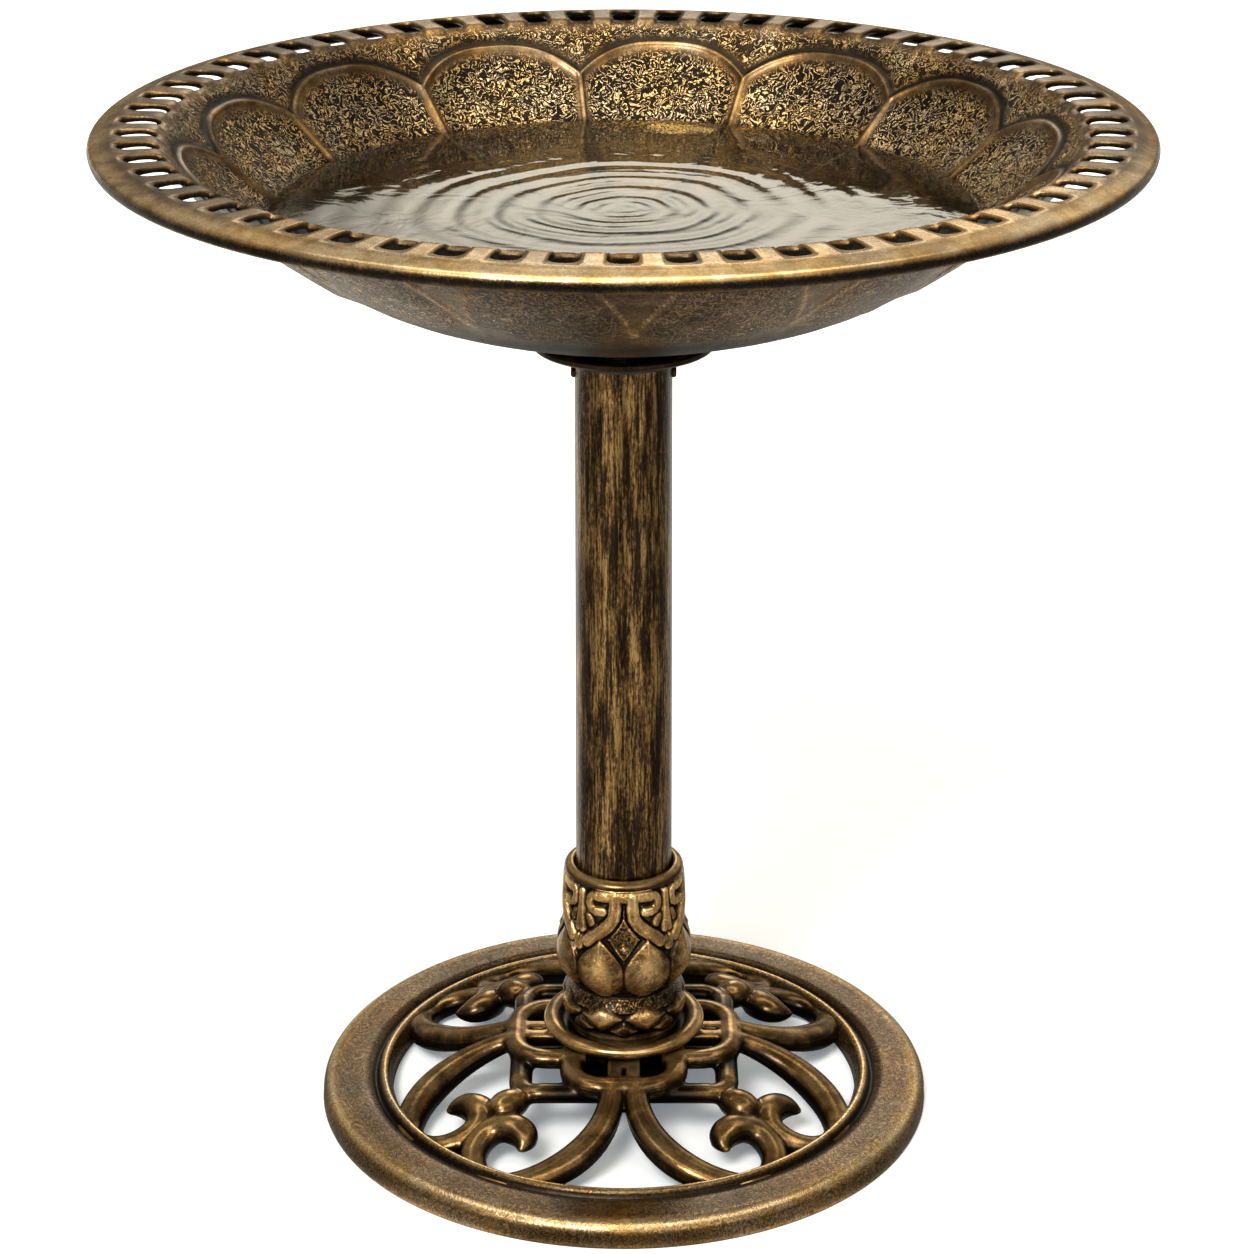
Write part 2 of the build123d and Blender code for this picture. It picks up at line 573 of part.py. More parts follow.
def bowl():
    """The bowl: thick floor, curved wall, and a slotted flange that ends in a turned-down lip."""
    rim_inner = BOWL_R - RIM_WIDTH
    floor_top = FLOOR_Z + FLOOR_T
    slope_gap = BOWL_WALL * 1.2
    rim_low = CROWN_Z - RIM_T
    lip_crest = (BOWL_R - 3, CROWN_Z - 3)
    lip_foot = (BOWL_R - 1.4, CROWN_Z - LIP_DROP)
    underside = wall_points(FOOT_RING_R, rim_inner + slope_gap, BOWL_FOOT, rim_low - SHOULDER_DROP)
    inside = wall_points(FOOT_RING_R, rim_inner, BOWL_FOOT + slope_gap, CROWN_Z - SHOULDER_DROP)
    inside = [(FOOT_RING_R + 8.0, floor_top)] + [p for p in inside if p[1] > floor_top + 1.5]
    foot_inner = FOOT_RING_R - FOOT_RING_W
    profile = [
        Polyline((0, FLOOR_Z), (foot_inner, FLOOR_Z), (foot_inner, BOWL_FOOT), underside[0]),
        Spline(*underside),
        Polyline(
            underside[-1],
            (rim_inner + 9, rim_low),
            (BOWL_R - LIP_RUN, rim_low),
            (BOWL_R - 4.5, rim_low - 3),
            (BOWL_R - 3.5, CROWN_Z - LIP_DROP),
            lip_foot,
        ),
        ThreePointArc(lip_foot, (BOWL_R, CROWN_Z - 6.7), lip_crest),
        Polyline(lip_crest, (BOWL_R - LIP_RUN, CROWN_Z), (rim_inner + 7, CROWN_Z), inside[-1]),
        Spline(*reversed(inside)),
        Polyline(inside[0], (0, floor_top), (0, FLOOR_Z)),
    ]
    body = revolve(Plane.XZ * make_face(profile), Axis.Z, 360)
    slot_centre = BOWL_R - SLOT_INSET - SLOT_LENGTH / 2
    plan = RectangleRounded(SLOT_LENGTH, SLOT_WIDTH, SLOT_CORNER)
    slot = Pos(slot_centre, 0, rim_low - 2.5) * extrude(plan, RIM_T + 5)
    body -= around(SLOT_COUNT, slot)
    for hole in around(4, disc(HUB_SCREW_R, FLOOR_Z, FLOOR_Z + HUB_SCREW_GRIP, HUB_SCREW_CIRCLE_R), 45):
        body -= hole
    return body


PIECES = {
    "base": base,
    "saucer": saucer,
    "urn_sleeve": urn_sleeve,
    "urn_top_ring": urn_top_ring,
    "column_tube": column_tube,
    "column_foot": column_foot,
    "foot_screws": foot_screws,
    "foot_washers": foot_washers,
    "column_cap": column_cap,
    "snap_clip": snap_clip,
    "button_left": lambda: snap_button(-1),
    "button_right": lambda: snap_button(1),
    "retainer_ring": retainer_ring,
    "seat_pad": seat_pad,
    "lock_ring": lock_ring,
    "bowl": bowl,
    "bowl_hub": bowl_hub,
    "hub_screws": hub_screws,
}

os.makedirs("parts", exist_ok=True)
for name, make in PIECES.items():
    export_step(make(), f"parts/{name}.step")
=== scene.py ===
"""Looks of the pedestal bird bath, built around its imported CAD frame.

Every piece is in metres in the row frame: the axis of the bath is Z, its front is -Y and it
stands on z = 0. Sizes inside the makers are millimetres, turned to metres by MM.
"""

import logging
import math
from contextlib import contextmanager
from dataclasses import dataclass
from enum import Enum
from typing import Iterator, Optional, Sequence, Union

import bpy
import numpy as np
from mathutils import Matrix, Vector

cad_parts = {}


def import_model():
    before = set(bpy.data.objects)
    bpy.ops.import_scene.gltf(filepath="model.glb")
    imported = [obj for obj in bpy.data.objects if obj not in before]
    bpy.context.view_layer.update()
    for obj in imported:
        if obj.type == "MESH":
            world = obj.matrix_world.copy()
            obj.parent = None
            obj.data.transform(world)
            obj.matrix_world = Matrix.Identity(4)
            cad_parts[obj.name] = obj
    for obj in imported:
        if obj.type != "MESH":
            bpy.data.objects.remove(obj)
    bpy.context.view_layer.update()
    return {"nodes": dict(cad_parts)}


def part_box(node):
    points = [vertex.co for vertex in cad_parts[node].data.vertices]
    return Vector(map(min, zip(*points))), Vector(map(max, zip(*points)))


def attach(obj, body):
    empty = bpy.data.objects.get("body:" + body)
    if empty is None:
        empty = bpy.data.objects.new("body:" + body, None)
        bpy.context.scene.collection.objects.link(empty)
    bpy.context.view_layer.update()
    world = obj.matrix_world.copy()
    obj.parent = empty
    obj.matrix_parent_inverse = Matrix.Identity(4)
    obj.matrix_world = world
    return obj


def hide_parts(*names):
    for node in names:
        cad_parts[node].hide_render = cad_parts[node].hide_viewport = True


MM = 0.001
LOG = logging.getLogger("bird_bath")
Point2 = tuple[float, float]
Array = np.ndarray
Mesh = bpy.types.Object
Material = bpy.types.Material
Tree = bpy.types.NodeTree
Node = bpy.types.Node
Output = bpy.types.NodeSocket
Socket = Union[Output, float]


# ------------------------------------------------------------------ bench work
def clear_selection() -> None:
    """Leave edit mode and deselect every object."""
    if bpy.context.mode != "OBJECT":
        bpy.ops.object.mode_set(mode="OBJECT")
    bpy.ops.object.select_all(action="DESELECT")


def activate(obj: Mesh, *others: Mesh) -> Mesh:
    """Select only obj and others, with obj active.

    Args:
        obj: the object that operators act on.
        others: objects selected with it.

    Returns:
        obj itself.
    """
    clear_selection()
    for piece in (obj, *others):
        piece.select_set(True)
    bpy.context.view_layer.objects.active = obj
    return obj


@contextmanager
def editing(obj: Mesh, select: str = "SELECT") -> Iterator[None]:
    """Edit mode on obj, with all of it selected or nothing.

    Args:
        obj: the mesh to edit.
        select: SELECT or DESELECT.
    """
    activate(obj)
    bpy.ops.object.mode_set(mode="EDIT")
    bpy.ops.mesh.select_mode(type="VERT")
    bpy.ops.mesh.select_all(action=select)
    yield
    bpy.ops.object.mode_set(mode="OBJECT")


def modify(obj: Mesh, kind: str, **settings: object) -> None:
    """Add one modifier with its settings and apply it.

    Args:
        obj: the mesh to change.
        kind: the modifier's type.
        settings: the modifier's properties.
    """
    activate(obj)
    modifier = obj.modifiers.new(kind.lower(), kind)
    for name, value in settings.items():
        setattr(modifier, name, value)
    bpy.ops.object.modifier_apply(modifier=modifier.name)


def join(name: str, pieces: Sequence[Mesh]) -> Mesh:
    """Join several meshes into one.

    Args:
        name: name of the joined piece.
        pieces: meshes to join.

    Returns:
        The joined piece.
    """
    activate(pieces[0], *pieces[1:])
    bpy.ops.object.join()
    pieces[0].name = name
    return pieces[0]


def settle(obj: Mesh) -> None:
    """Put the object's place, turn and scale into its mesh."""
    activate(obj)
    bpy.ops.object.transform_apply(location=True, rotation=True, scale=True)


def smooth(obj: Mesh) -> None:
    """Shade all faces smooth."""
    activate(obj)
    bpy.ops.object.shade_smooth()


def lathe(name: str, profile: Sequence[Point2], steps: int, closed: bool = False) -> Mesh:
    """Spin a profile round Z.

    Args:
        name: name of the piece.
        profile: radius and height of each point, in mm.
        steps: columns round the axis.
        closed: whether the profile's end meets its start.

    Returns:
        The spun mesh, with its seam and poles merged.
    """
    clear_selection()
    bpy.ops.mesh.primitive_plane_add(size=MM)
    obj = bpy.context.object
    obj.name = name
    points = list(profile) + ([profile[0]] if closed else [])
    with editing(obj):
        bpy.ops.mesh.merge(type="CENTER")
        bpy.ops.transform.translate(value=(points[0][0] * MM, 0, points[0][1] * MM))
        for (r_from, z_from), (r_to, z_to) in zip(points, points[1:]):
            step = ((r_to - r_from) * MM, 0, (z_to - z_from) * MM)
            bpy.ops.mesh.extrude_region_move(TRANSFORM_OT_translate={"value": step})
        bpy.ops.mesh.select_all(action="SELECT")
        bpy.ops.mesh.remove_doubles(threshold=1e-6)
        bpy.ops.mesh.spin(steps=steps, angle=math.tau, center=(0, 0, 0), axis=(0, 0, 1))
        bpy.ops.mesh.select_all(action="SELECT")
        bpy.ops.mesh.remove_doubles(threshold=5e-6)
        bpy.ops.mesh.normals_make_consistent(inside=False)
    return obj


def arc(centre: Point2, radius: float, start: float, end: float, count: int) -> list[Point2]:
    """Points along an arc.

    Args:
        centre: centre of the arc.
        radius: its radius.
        start: first angle, in degrees.
        end: last angle, in degrees.
        count: how many points.

    Returns:
        The points, first and last angle included.
    """
    angles = np.radians(np.linspace(start, end, count))
    return [(centre[0] + radius * math.cos(a), centre[1] + radius * math.sin(a)) for a in angles]


def read_points(obj: Mesh) -> Array:
    """The vertices of a mesh, one row each, in metres."""
    flat = np.empty(len(obj.data.vertices) * 3)
    obj.data.vertices.foreach_get("co", flat)
    return flat.reshape(-1, 3)


def write_points(obj: Mesh, points: Array) -> None:
    """Move the vertices of a mesh to these places, in metres."""
    obj.data.vertices.foreach_set("co", points.astype(np.float32).ravel())
    obj.data.update()


def measured(obj: Mesh) -> tuple[Array, Array]:
    """The vertices of a mesh in mm, and how far each is from the axis."""
    points = read_points(obj) / MM
    return points, np.hypot(points[:, 0], points[:, 1])


def widen(points: Array, factor: Array) -> None:
    """Move points away from the axis by a factor each, in place."""
    points[:, :2] *= factor[:, None]


def block(size: tuple[float, float, float], y: float, z: float) -> Mesh:
    """A box in mm, centred on x = 0."""
    clear_selection()
    scale = [side * MM for side in size]
    bpy.ops.mesh.primitive_cube_add(size=1, location=(0, y * MM, z * MM), scale=scale)
    obj = bpy.context.object
    settle(obj)
    return obj


def write_mask(obj: Mesh, name: str, values: Array) -> None:
    """Store one number per vertex for the materials to read.

    Args:
        obj: the mesh.
        name: name of the mask.
        values: one value per vertex.
    """
    mask = obj.data.attributes.get(name) or obj.data.attributes.new(name, "FLOAT", "POINT")
    mask.data.foreach_set("value", np.clip(values, 0, 1).astype(np.float32))


def flowing(x: Array, stations: Sequence[Point2]) -> Array:
    """A smooth curve through a few stations.

    Args:
        x: where to read the curve.
        stations: place and value of each station, in rising order.

    Returns:
        The curve's value at each x.
    """
    xs, ys = (np.array(column, float) for column in zip(*stations))
    slopes = np.gradient(ys, xs)
    x = np.clip(x, xs[0], xs[-1])
    i = np.clip(np.searchsorted(xs, x) - 1, 0, len(xs) - 2)
    span = xs[i + 1] - xs[i]
    t = (x - xs[i]) / span
    start = (2 * t**3 - 3 * t**2 + 1) * ys[i] + (t**3 - 2 * t**2 + t) * span * slopes[i]
    end = (3 * t**2 - 2 * t**3) * ys[i + 1] + (t**3 - t**2) * span * slopes[i + 1]
    return start + end


def ease(x: Array, low: float, high: float) -> Array:
    """0 below low, 1 above high, and a soft step between them."""
    t = np.clip((x - low) / (high - low), 0, 1)
    return t * t * (3 - 2 * t)


def bell(x: Array, width: float) -> Array:
    """1 at zero, falling off over width on both sides."""
    return np.exp(-((x / width) ** 2))


def azimuth(points: Array) -> Array:
    """Degrees round the axis from the front, growing towards +X."""
    return np.degrees(np.arctan2(points[:, 0], -points[:, 1]))


# ------------------------------------------------------------------ finishes
class Grain(Enum):
    """Fine relief that a finish carries."""

    HAMMERED = "hammered"
    STREAKED = "streaked"
    CAST = "cast"
    SATIN = "satin"


def preset(node: Node, values: dict[str, object]) -> None:
    """Give a node's inputs fixed values."""
    for label, value in values.items():
        node.inputs[label].default_value = value


class Wiring:
    """Adds and links the nodes of one tree."""

    def __init__(self, tree: Tree) -> None:
        """Keep the tree that nodes go into."""
        self.tree = tree

    def add(self, kind: str, **settings: object) -> Node:
        """Add a node and set its properties."""
        node = self.tree.nodes.new(kind)
        for name, value in settings.items():
            setattr(node, name, value)
        return node

    def feed(self, target: Output, source: Socket) -> None:
        """Link a socket to target, or set target's own value."""
        if isinstance(source, Output):
            self.tree.links.new(source, target)
        else:
            target.default_value = source

    def math(self, operation: str, a: Socket, b: Socket = 0.0, clamp: bool = False) -> Output:
        """One Math node and its result."""
        node = self.add("ShaderNodeMath", operation=operation, use_clamp=clamp)
        self.feed(node.inputs[0], a)
        self.feed(node.inputs[1], b)
        return node.outputs[0]

    def product(self, first: Socket, *others: Socket) -> Output:
        """All the values multiplied."""
        for value in others:
            first = self.math("MULTIPLY", first, value)
        return first

    def weighed(self, value: Socket, weight: float, onto: Socket) -> Output:
        """value times weight, plus onto."""
        node = self.add("ShaderNodeMath", operation="MULTIPLY_ADD")
        self.feed(node.inputs[0], value)
        node.inputs[1].default_value = weight
        self.feed(node.inputs[2], onto)
        return node.outputs[0]

    def ranged(self, value: Socket, low: float, high: float, to_low: float = 0.0,
               to_high: float = 1.0) -> Output:
        """value moved from one range to another, smoothly and clamped."""
        node = self.add("ShaderNodeMapRange", interpolation_type="SMOOTHSTEP")
        self.feed(node.inputs["Value"], value)
        preset(node, {"From Min": low, "From Max": high, "To Min": to_low, "To Max": to_high})
        return node.outputs["Result"]

    def noise(self, vector: Socket, scale: Socket, detail: float = 3.0, distortion: float = 0.0,
              roughness: float = 0.5) -> Output:
        """A noise texture's value."""
        node = self.add("ShaderNodeTexNoise")
        self.feed(node.inputs["Vector"], vector)
        self.feed(node.inputs["Scale"], scale)
        preset(node, {"Detail": detail, "Distortion": distortion, "Roughness": roughness})
        return node.outputs["Fac"]

    def stretched(self, vector: Socket, scale: tuple[float, float, float]) -> Output:
        """Coordinates scaled along each axis."""
        node = self.add("ShaderNodeMapping")
        self.feed(node.inputs["Vector"], vector)
        node.inputs["Scale"].default_value = scale
        return node.outputs["Vector"]

    def ramp(self, value: Socket, stops: Sequence[tuple[float, tuple[float, ...]]]) -> Output:
        """A colour ramp with these stops."""
        node = self.add("ShaderNodeValToRGB")
        elements = node.color_ramp.elements
        while len(elements) < len(stops):
            elements.new(0.5)
        for element, (place, colour) in zip(elements, stops):
            element.position = place
            element.color = (*colour, 1.0)
        self.feed(node.inputs[0], value)
        return node.outputs[0]

    def split(self, vector: Socket) -> tuple[Output, ...]:
        """The three parts of a vector."""
        node = self.add("ShaderNodeSeparateXYZ")
        self.feed(node.inputs[0], vector)
        return tuple(node.outputs)

    def coords(self) -> Output:
        """Object coordinates."""
        return self.add("ShaderNodeTexCoord").outputs["Object"]

    def mask(self, name: str) -> Output:
        """A mask stored on the vertices."""
        return self.add("ShaderNodeAttribute", attribute_name=name).outputs["Fac"]

    def grain(self, tree: Tree, coords: Socket, scale: float) -> tuple[Output, ...]:
        """Height and crest of a grain group."""
        node = self.add("ShaderNodeGroup", node_tree=tree)
        self.feed(node.inputs["Vector"], coords)
        self.feed(node.inputs["Scale"], scale)
        return node.outputs["Height"], node.outputs["Crest"]

    def bump(self, shader: Node, height: Socket, depth: float) -> None:
        """Bend a shader's normal by a height, depth in mm."""
        node = self.add("ShaderNodeBump")
        preset(node, {"Distance": depth * MM})
        self.feed(node.inputs["Height"], height)
        self.feed(shader.inputs["Normal"], node.outputs["Normal"])

    def unless(self, ray: str, usual: Node, other: Node) -> None:
        """Show the usual shader, and the other one to one kind of ray."""
        mix = self.add("ShaderNodeMixShader")
        self.feed(mix.inputs[0], self.add("ShaderNodeLightPath").outputs[ray])
        self.feed(mix.inputs[1], usual.outputs[0])
        self.feed(mix.inputs[2], other.outputs[0])
        self.feed(self.tree.nodes["Material Output"].inputs["Surface"], mix.outputs[0])


def open_material(name: str) -> tuple[Material, Wiring, Node]:
    """Start a material: itself, its wiring and its main shader."""
    material = bpy.data.materials.new(name)
    material.use_nodes = True
    return material, Wiring(material.node_tree), material.node_tree.nodes["Principled BSDF"]


def open_group(name: str, inputs: dict[str, str],
               outputs: dict[str, str]) -> tuple[Tree, Wiring, Node, Node]:
    """Start a node group with named sockets.

    Args:
        name: name of the group.
        inputs: socket kind of each input.
        outputs: socket kind of each output.

    Returns:
        The tree, its wiring, its input node and its output node.
    """
    tree = bpy.data.node_groups.new(name, "ShaderNodeTree")
    for label, kind in inputs.items():
        tree.interface.new_socket(label, in_out="INPUT", socket_type=kind)
    for label, kind in outputs.items():
        tree.interface.new_socket(label, in_out="OUTPUT", socket_type=kind)
    wiring = Wiring(tree)
    return tree, wiring, wiring.add("NodeGroupInput"), wiring.add("NodeGroupOutput")


FLOAT, VECTOR, COLOR = "NodeSocketFloat", "NodeSocketVector", "NodeSocketColor"


class Effects:
    """The node groups that the finishes share."""

    def __init__(self) -> None:
        """Build each group once."""
        self.patina = self._patina()
        self.grains = {
            Grain.HAMMERED: self._hammered(),
            Grain.STREAKED: self._streaked(),
            Grain.CAST: self._cast(),
            Grain.SATIN: self._satin(),
        }

    @staticmethod
    def _patina() -> Tree:
        """Rubbed bronze: black-brown in the hollows and in painted shade, gold where a hand has worn it and in
        painted highlights.
        """
        tree, w, entry, leave = open_group(
            "RubbedPatina",
            {"Tone": FLOAT, "Warmth": FLOAT, "Vector": VECTOR},
            {"Color": COLOR, "Roughness": FLOAT, "Metallic": FLOAT},
        )
        vector = entry.outputs["Vector"]
        hue = w.noise(vector, 38.0, 3.0)
        warm = w.ramp(entry.outputs["Tone"], [
            (0.0, (0.006, 0.0038, 0.0018)), (0.28, (0.027, 0.0145, 0.0048)), (0.52, (0.145, 0.079, 0.025)),
            (0.76, (0.460, 0.280, 0.104)), (1.0, (0.90, 0.63, 0.30))])
        cool = w.ramp(entry.outputs["Tone"], [
            (0.0, (0.007, 0.0052, 0.0033)), (0.28, (0.030, 0.020, 0.011)), (0.52, (0.148, 0.096, 0.049)),
            (0.76, (0.430, 0.305, 0.165)), (1.0, (0.85, 0.66, 0.41))])
        mix = w.add("ShaderNodeMix", data_type="RGBA")
        cool_share = w.ranged(hue, 0.38, 0.62, 0.2, 1.2)
        w.feed(mix.inputs[0], w.math("SUBTRACT", cool_share, entry.outputs["Warmth"], clamp=True))
        w.feed(mix.inputs[6], warm)
        w.feed(mix.inputs[7], cool)
        w.feed(leave.inputs["Color"], mix.outputs[2])
        fine = w.noise(vector, 420.0, 2.0)
        rough = w.ranged(entry.outputs["Tone"], 0.1, 0.95, 0.36, 0.25)
        w.feed(leave.inputs["Roughness"], w.weighed(fine, 0.10, w.math("SUBTRACT", rough, 0.05)))
        w.feed(leave.inputs["Metallic"], w.ranged(entry.outputs["Tone"], 0.05, 0.6, 0.84, 0.80))
        return tree

    @staticmethod
    def _grain_group(name: str) -> tuple[Tree, Wiring, Node, Node]:
        """A grain group's sockets: coordinates and scale in, height and crest out."""
        return open_group(name, {"Vector": VECTOR, "Scale": FLOAT}, {"Height": FLOAT, "Crest": FLOAT})

    @classmethod
    def _hammered(cls) -> Tree:
        """Short worm-like wrinkles with dark pits between them."""
        tree, w, entry, leave = cls._grain_group("HammeredWrinkles")
        vector, scale = entry.outputs["Vector"], entry.outputs["Scale"]
        broad = w.noise(vector, w.product(scale, 0.55), 1.5, 0.6)
        worms = w.math("SINE", w.product(broad, 46.0))
        small = w.noise(vector, w.product(scale, 2.1), 2.0, 0.8)
        knots = w.math("SINE", w.product(small, 30.0))
        both = w.weighed(knots, 0.38, w.product(worms, 0.62))
        w.feed(leave.inputs["Height"], w.ranged(both, -0.55, 0.75))
        w.feed(leave.inputs["Crest"], w.ranged(both, -0.15, 0.8))
        return tree

    @classmethod
    def _streaked(cls) -> Tree:
        """Upright brush streaks of a wiped pipe."""
        tree, w, entry, leave = cls._grain_group("UprightStreaks")
        vector, scale = entry.outputs["Vector"], entry.outputs["Scale"]
        long_way = w.stretched(vector, (1.0, 1.0, 0.055))
        fine = w.noise(long_way, scale, 4.0, 0.25, 0.62)
        wide = w.noise(w.stretched(vector, (1.0, 1.0, 0.10)), w.product(scale, 0.22), 3.0, 0.4)
        flecks = w.noise(w.stretched(vector, (1.0, 1.0, 0.30)), w.product(scale, 1.4), 3.0, 0.5)
        crest = w.weighed(fine, 0.75, w.weighed(wide, 0.65, w.product(flecks, 0.45)))
        w.feed(leave.inputs["Height"], w.weighed(flecks, 0.5, w.product(fine, 0.5)))
        w.feed(leave.inputs["Crest"], w.ranged(crest, 0.74, 1.12))
        return tree

    @classmethod
    def _cast(cls) -> Tree:
        """Short curved scratches and pin-holes of a rubbed casting."""
        tree, w, entry, leave = cls._grain_group("CastGrain")
        vector, scale = entry.outputs["Vector"], entry.outputs["Scale"]
        flow = w.noise(vector, w.product(scale, 0.30), 2.0, 1.6)
        lines = w.math("SINE", w.product(flow, 85.0))
        pores = w.noise(vector, w.product(scale, 3.4), 3.0, 0.3, 0.65)
        w.feed(leave.inputs["Height"], w.weighed(lines, 0.22, pores))
        w.feed(leave.inputs["Crest"], w.ranged(w.weighed(lines, 0.15, pores), 0.28, 0.76))
        return tree

    @classmethod
    def _satin(cls) -> Tree:
        """Soft clouding with a few scattered pin-holes."""
        tree, w, entry, leave = cls._grain_group("SatinClouds")
        vector, scale = entry.outputs["Vector"], entry.outputs["Scale"]
        pores = w.noise(vector, w.product(scale, 2.6), 3.0, 0.4, 0.6)
        cloud = w.noise(vector, w.product(scale, 0.25), 3.0, 0.8)
        w.feed(leave.inputs["Height"], pores)
        crest = w.weighed(cloud, 0.7, w.product(pores, 0.5))
        w.feed(leave.inputs["Crest"], w.ranged(crest, 0.42, 0.78))
        return tree


@dataclass(frozen=True)
class BronzeFinish:
    """Painted bronze, rubbed back to gold on its edges, with painted highlights and painted shade laid on by
    its masks.
    """

    name: str
    grain: Grain
    scale: float             # grain cells per metre
    depth: float             # bump height, in mm
    wear: float              # how far the whole piece is rubbed back
    grain_show: float        # how strongly the grain's crests are rubbed
    cloud_show: float = 0.35
    wear_and_highlight_show: float = 0.5    # weight of the piece's own mask of wear and painted highlights
    edge_show: float = 0.0   # weight of its convex edges
    hollow_show: float = 0.0  # weight of its concave corners
    masked: bool = False     # grain follows the hammered mask
    warmth: float = 0.2      # 0.2 mixes red and yellow bronze evenly, 1 is nearly all red
    cloud_scale: float = 14.0  # clouds per metre
    gloss: float = 1.0       # share of the usual roughness

    def make(self, effects: Effects) -> Material:
        """Build the material.

        Args:
            effects: the shared node groups.

        Returns:
            The finished material.
        """
        material, w, shader = open_material(self.name)
        coords = w.coords()
        height, crest = w.grain(effects.grains[self.grain], coords, self.scale)
        if self.masked:
            hammered = w.mask("hammered")
            fine_height, fine_crest = w.grain(effects.grains[Grain.SATIN], coords, self.scale)
            height = w.weighed(fine_height, 0.10, w.product(height, hammered))
            calm = w.weighed(w.math("SUBTRACT", fine_crest, 0.5), 0.22, 0.5)
            crest = self._blend(w, hammered, calm, crest)
        clouds = w.noise(coords, self.cloud_scale, 4.0, 0.6, 0.6)
        tone = w.weighed(w.math("SUBTRACT", clouds, 0.5), 2 * self.cloud_show, self.wear)
        tone = w.weighed(w.math("SUBTRACT", crest, 0.5), self.grain_show, tone)
        # The piece's own wear and highlight mask lightens it where it is rubbed gold and where highlights are
        # painted; the shadowed mask darkens it with painted shade.
        tone = w.weighed(w.mask("wear_and_highlight"), self.wear_and_highlight_show, tone)
        tone = w.weighed(w.mask("shadowed"), -0.6, tone)
        if self.edge_show or self.hollow_show:
            point = w.add("ShaderNodeNewGeometry").outputs["Pointiness"]
            tone = w.weighed(w.ranged(point, 0.505, 0.56), self.edge_show, tone)
            tone = w.weighed(w.ranged(point, 0.495, 0.44), -self.hollow_show, tone)
        patina = w.add("ShaderNodeGroup", node_tree=effects.patina)
        w.feed(patina.inputs["Tone"], w.math("ADD", tone, 0.0, clamp=True))
        w.feed(patina.inputs["Vector"], coords)
        patina.inputs["Warmth"].default_value = self.warmth
        w.feed(shader.inputs["Base Color"], patina.outputs["Color"])
        w.feed(shader.inputs["Roughness"], w.product(patina.outputs["Roughness"], self.gloss))
        w.feed(shader.inputs["Metallic"], patina.outputs["Metallic"])
        w.bump(shader, height, self.depth)
        return material

    @staticmethod
    def _blend(w: Wiring, factor: Socket, a: Socket, b: Socket) -> Output:
        """a where factor is 0 and b where it is 1."""
        mix = w.add("ShaderNodeMix", data_type="FLOAT")
        w.feed(mix.inputs[0], factor)
        w.feed(mix.inputs[2], a)
        w.feed(mix.inputs[3], b)
        return mix.outputs[0]


@dataclass(frozen=True)
class PlainFinish:
    """Resin, rubber or steel: one colour with soft mottling and a fine skin."""

    name: str
    dark: tuple[float, float, float]
    light: tuple[float, float, float]
    rough: tuple[float, float]
    metallic: float = 0.0
    scale: float = 300.0
    depth: float = 0.04
    stretch: tuple[float, float, float] = (1.0, 1.0, 1.0)

    def make(self, effects: Effects) -> Material:
        """Build the material.

        Args:
            effects: the shared node groups.

        Returns:
            The finished material.
        """
        material, w, shader = open_material(self.name)
        coords = w.stretched(w.coords(), self.stretch)
        height, crest = w.grain(effects.grains[Grain.SATIN], coords, self.scale)
        w.feed(shader.inputs["Base Color"], w.ramp(crest, [(0.0, self.dark), (1.0, self.light)]))
        w.feed(shader.inputs["Roughness"], w.ranged(crest, 0, 1, *self.rough))
        preset(shader, {"Metallic": self.metallic})
        w.bump(shader, height, self.depth)
        return material


@dataclass(frozen=True)
class WaterFinish:
    """Clear water with an olive cast, which lets light through to the bowl."""

    name: str = "pool_water"
    tint: tuple[float, ...] = (0.66, 0.52, 0.20, 1)
    glint: tuple[float, ...] = (1.0, 0.86, 0.62, 1)
    waves: float = 24.0      # small waves per metre
    depth: float = 0.45      # their height, in mm

    def make(self) -> Material:
        """Build the material."""
        material, w, shader = open_material(self.name)
        preset(shader, {
            "Base Color": self.tint, "Roughness": 0.03, "IOR": 1.33, "Transmission Weight": 1.0,
            "Specular Tint": self.glint, "Coat Weight": 0.10, "Coat Roughness": 0.02, "Coat IOR": 1.6})
        w.bump(shader, w.noise(w.coords(), self.waves, 3.0, 1.2), self.depth)
        clear = w.add("ShaderNodeBsdfTransparent")
        preset(clear, {"Color": self.tint})
        w.unless("Is Shadow Ray", shader, clear)
        return material


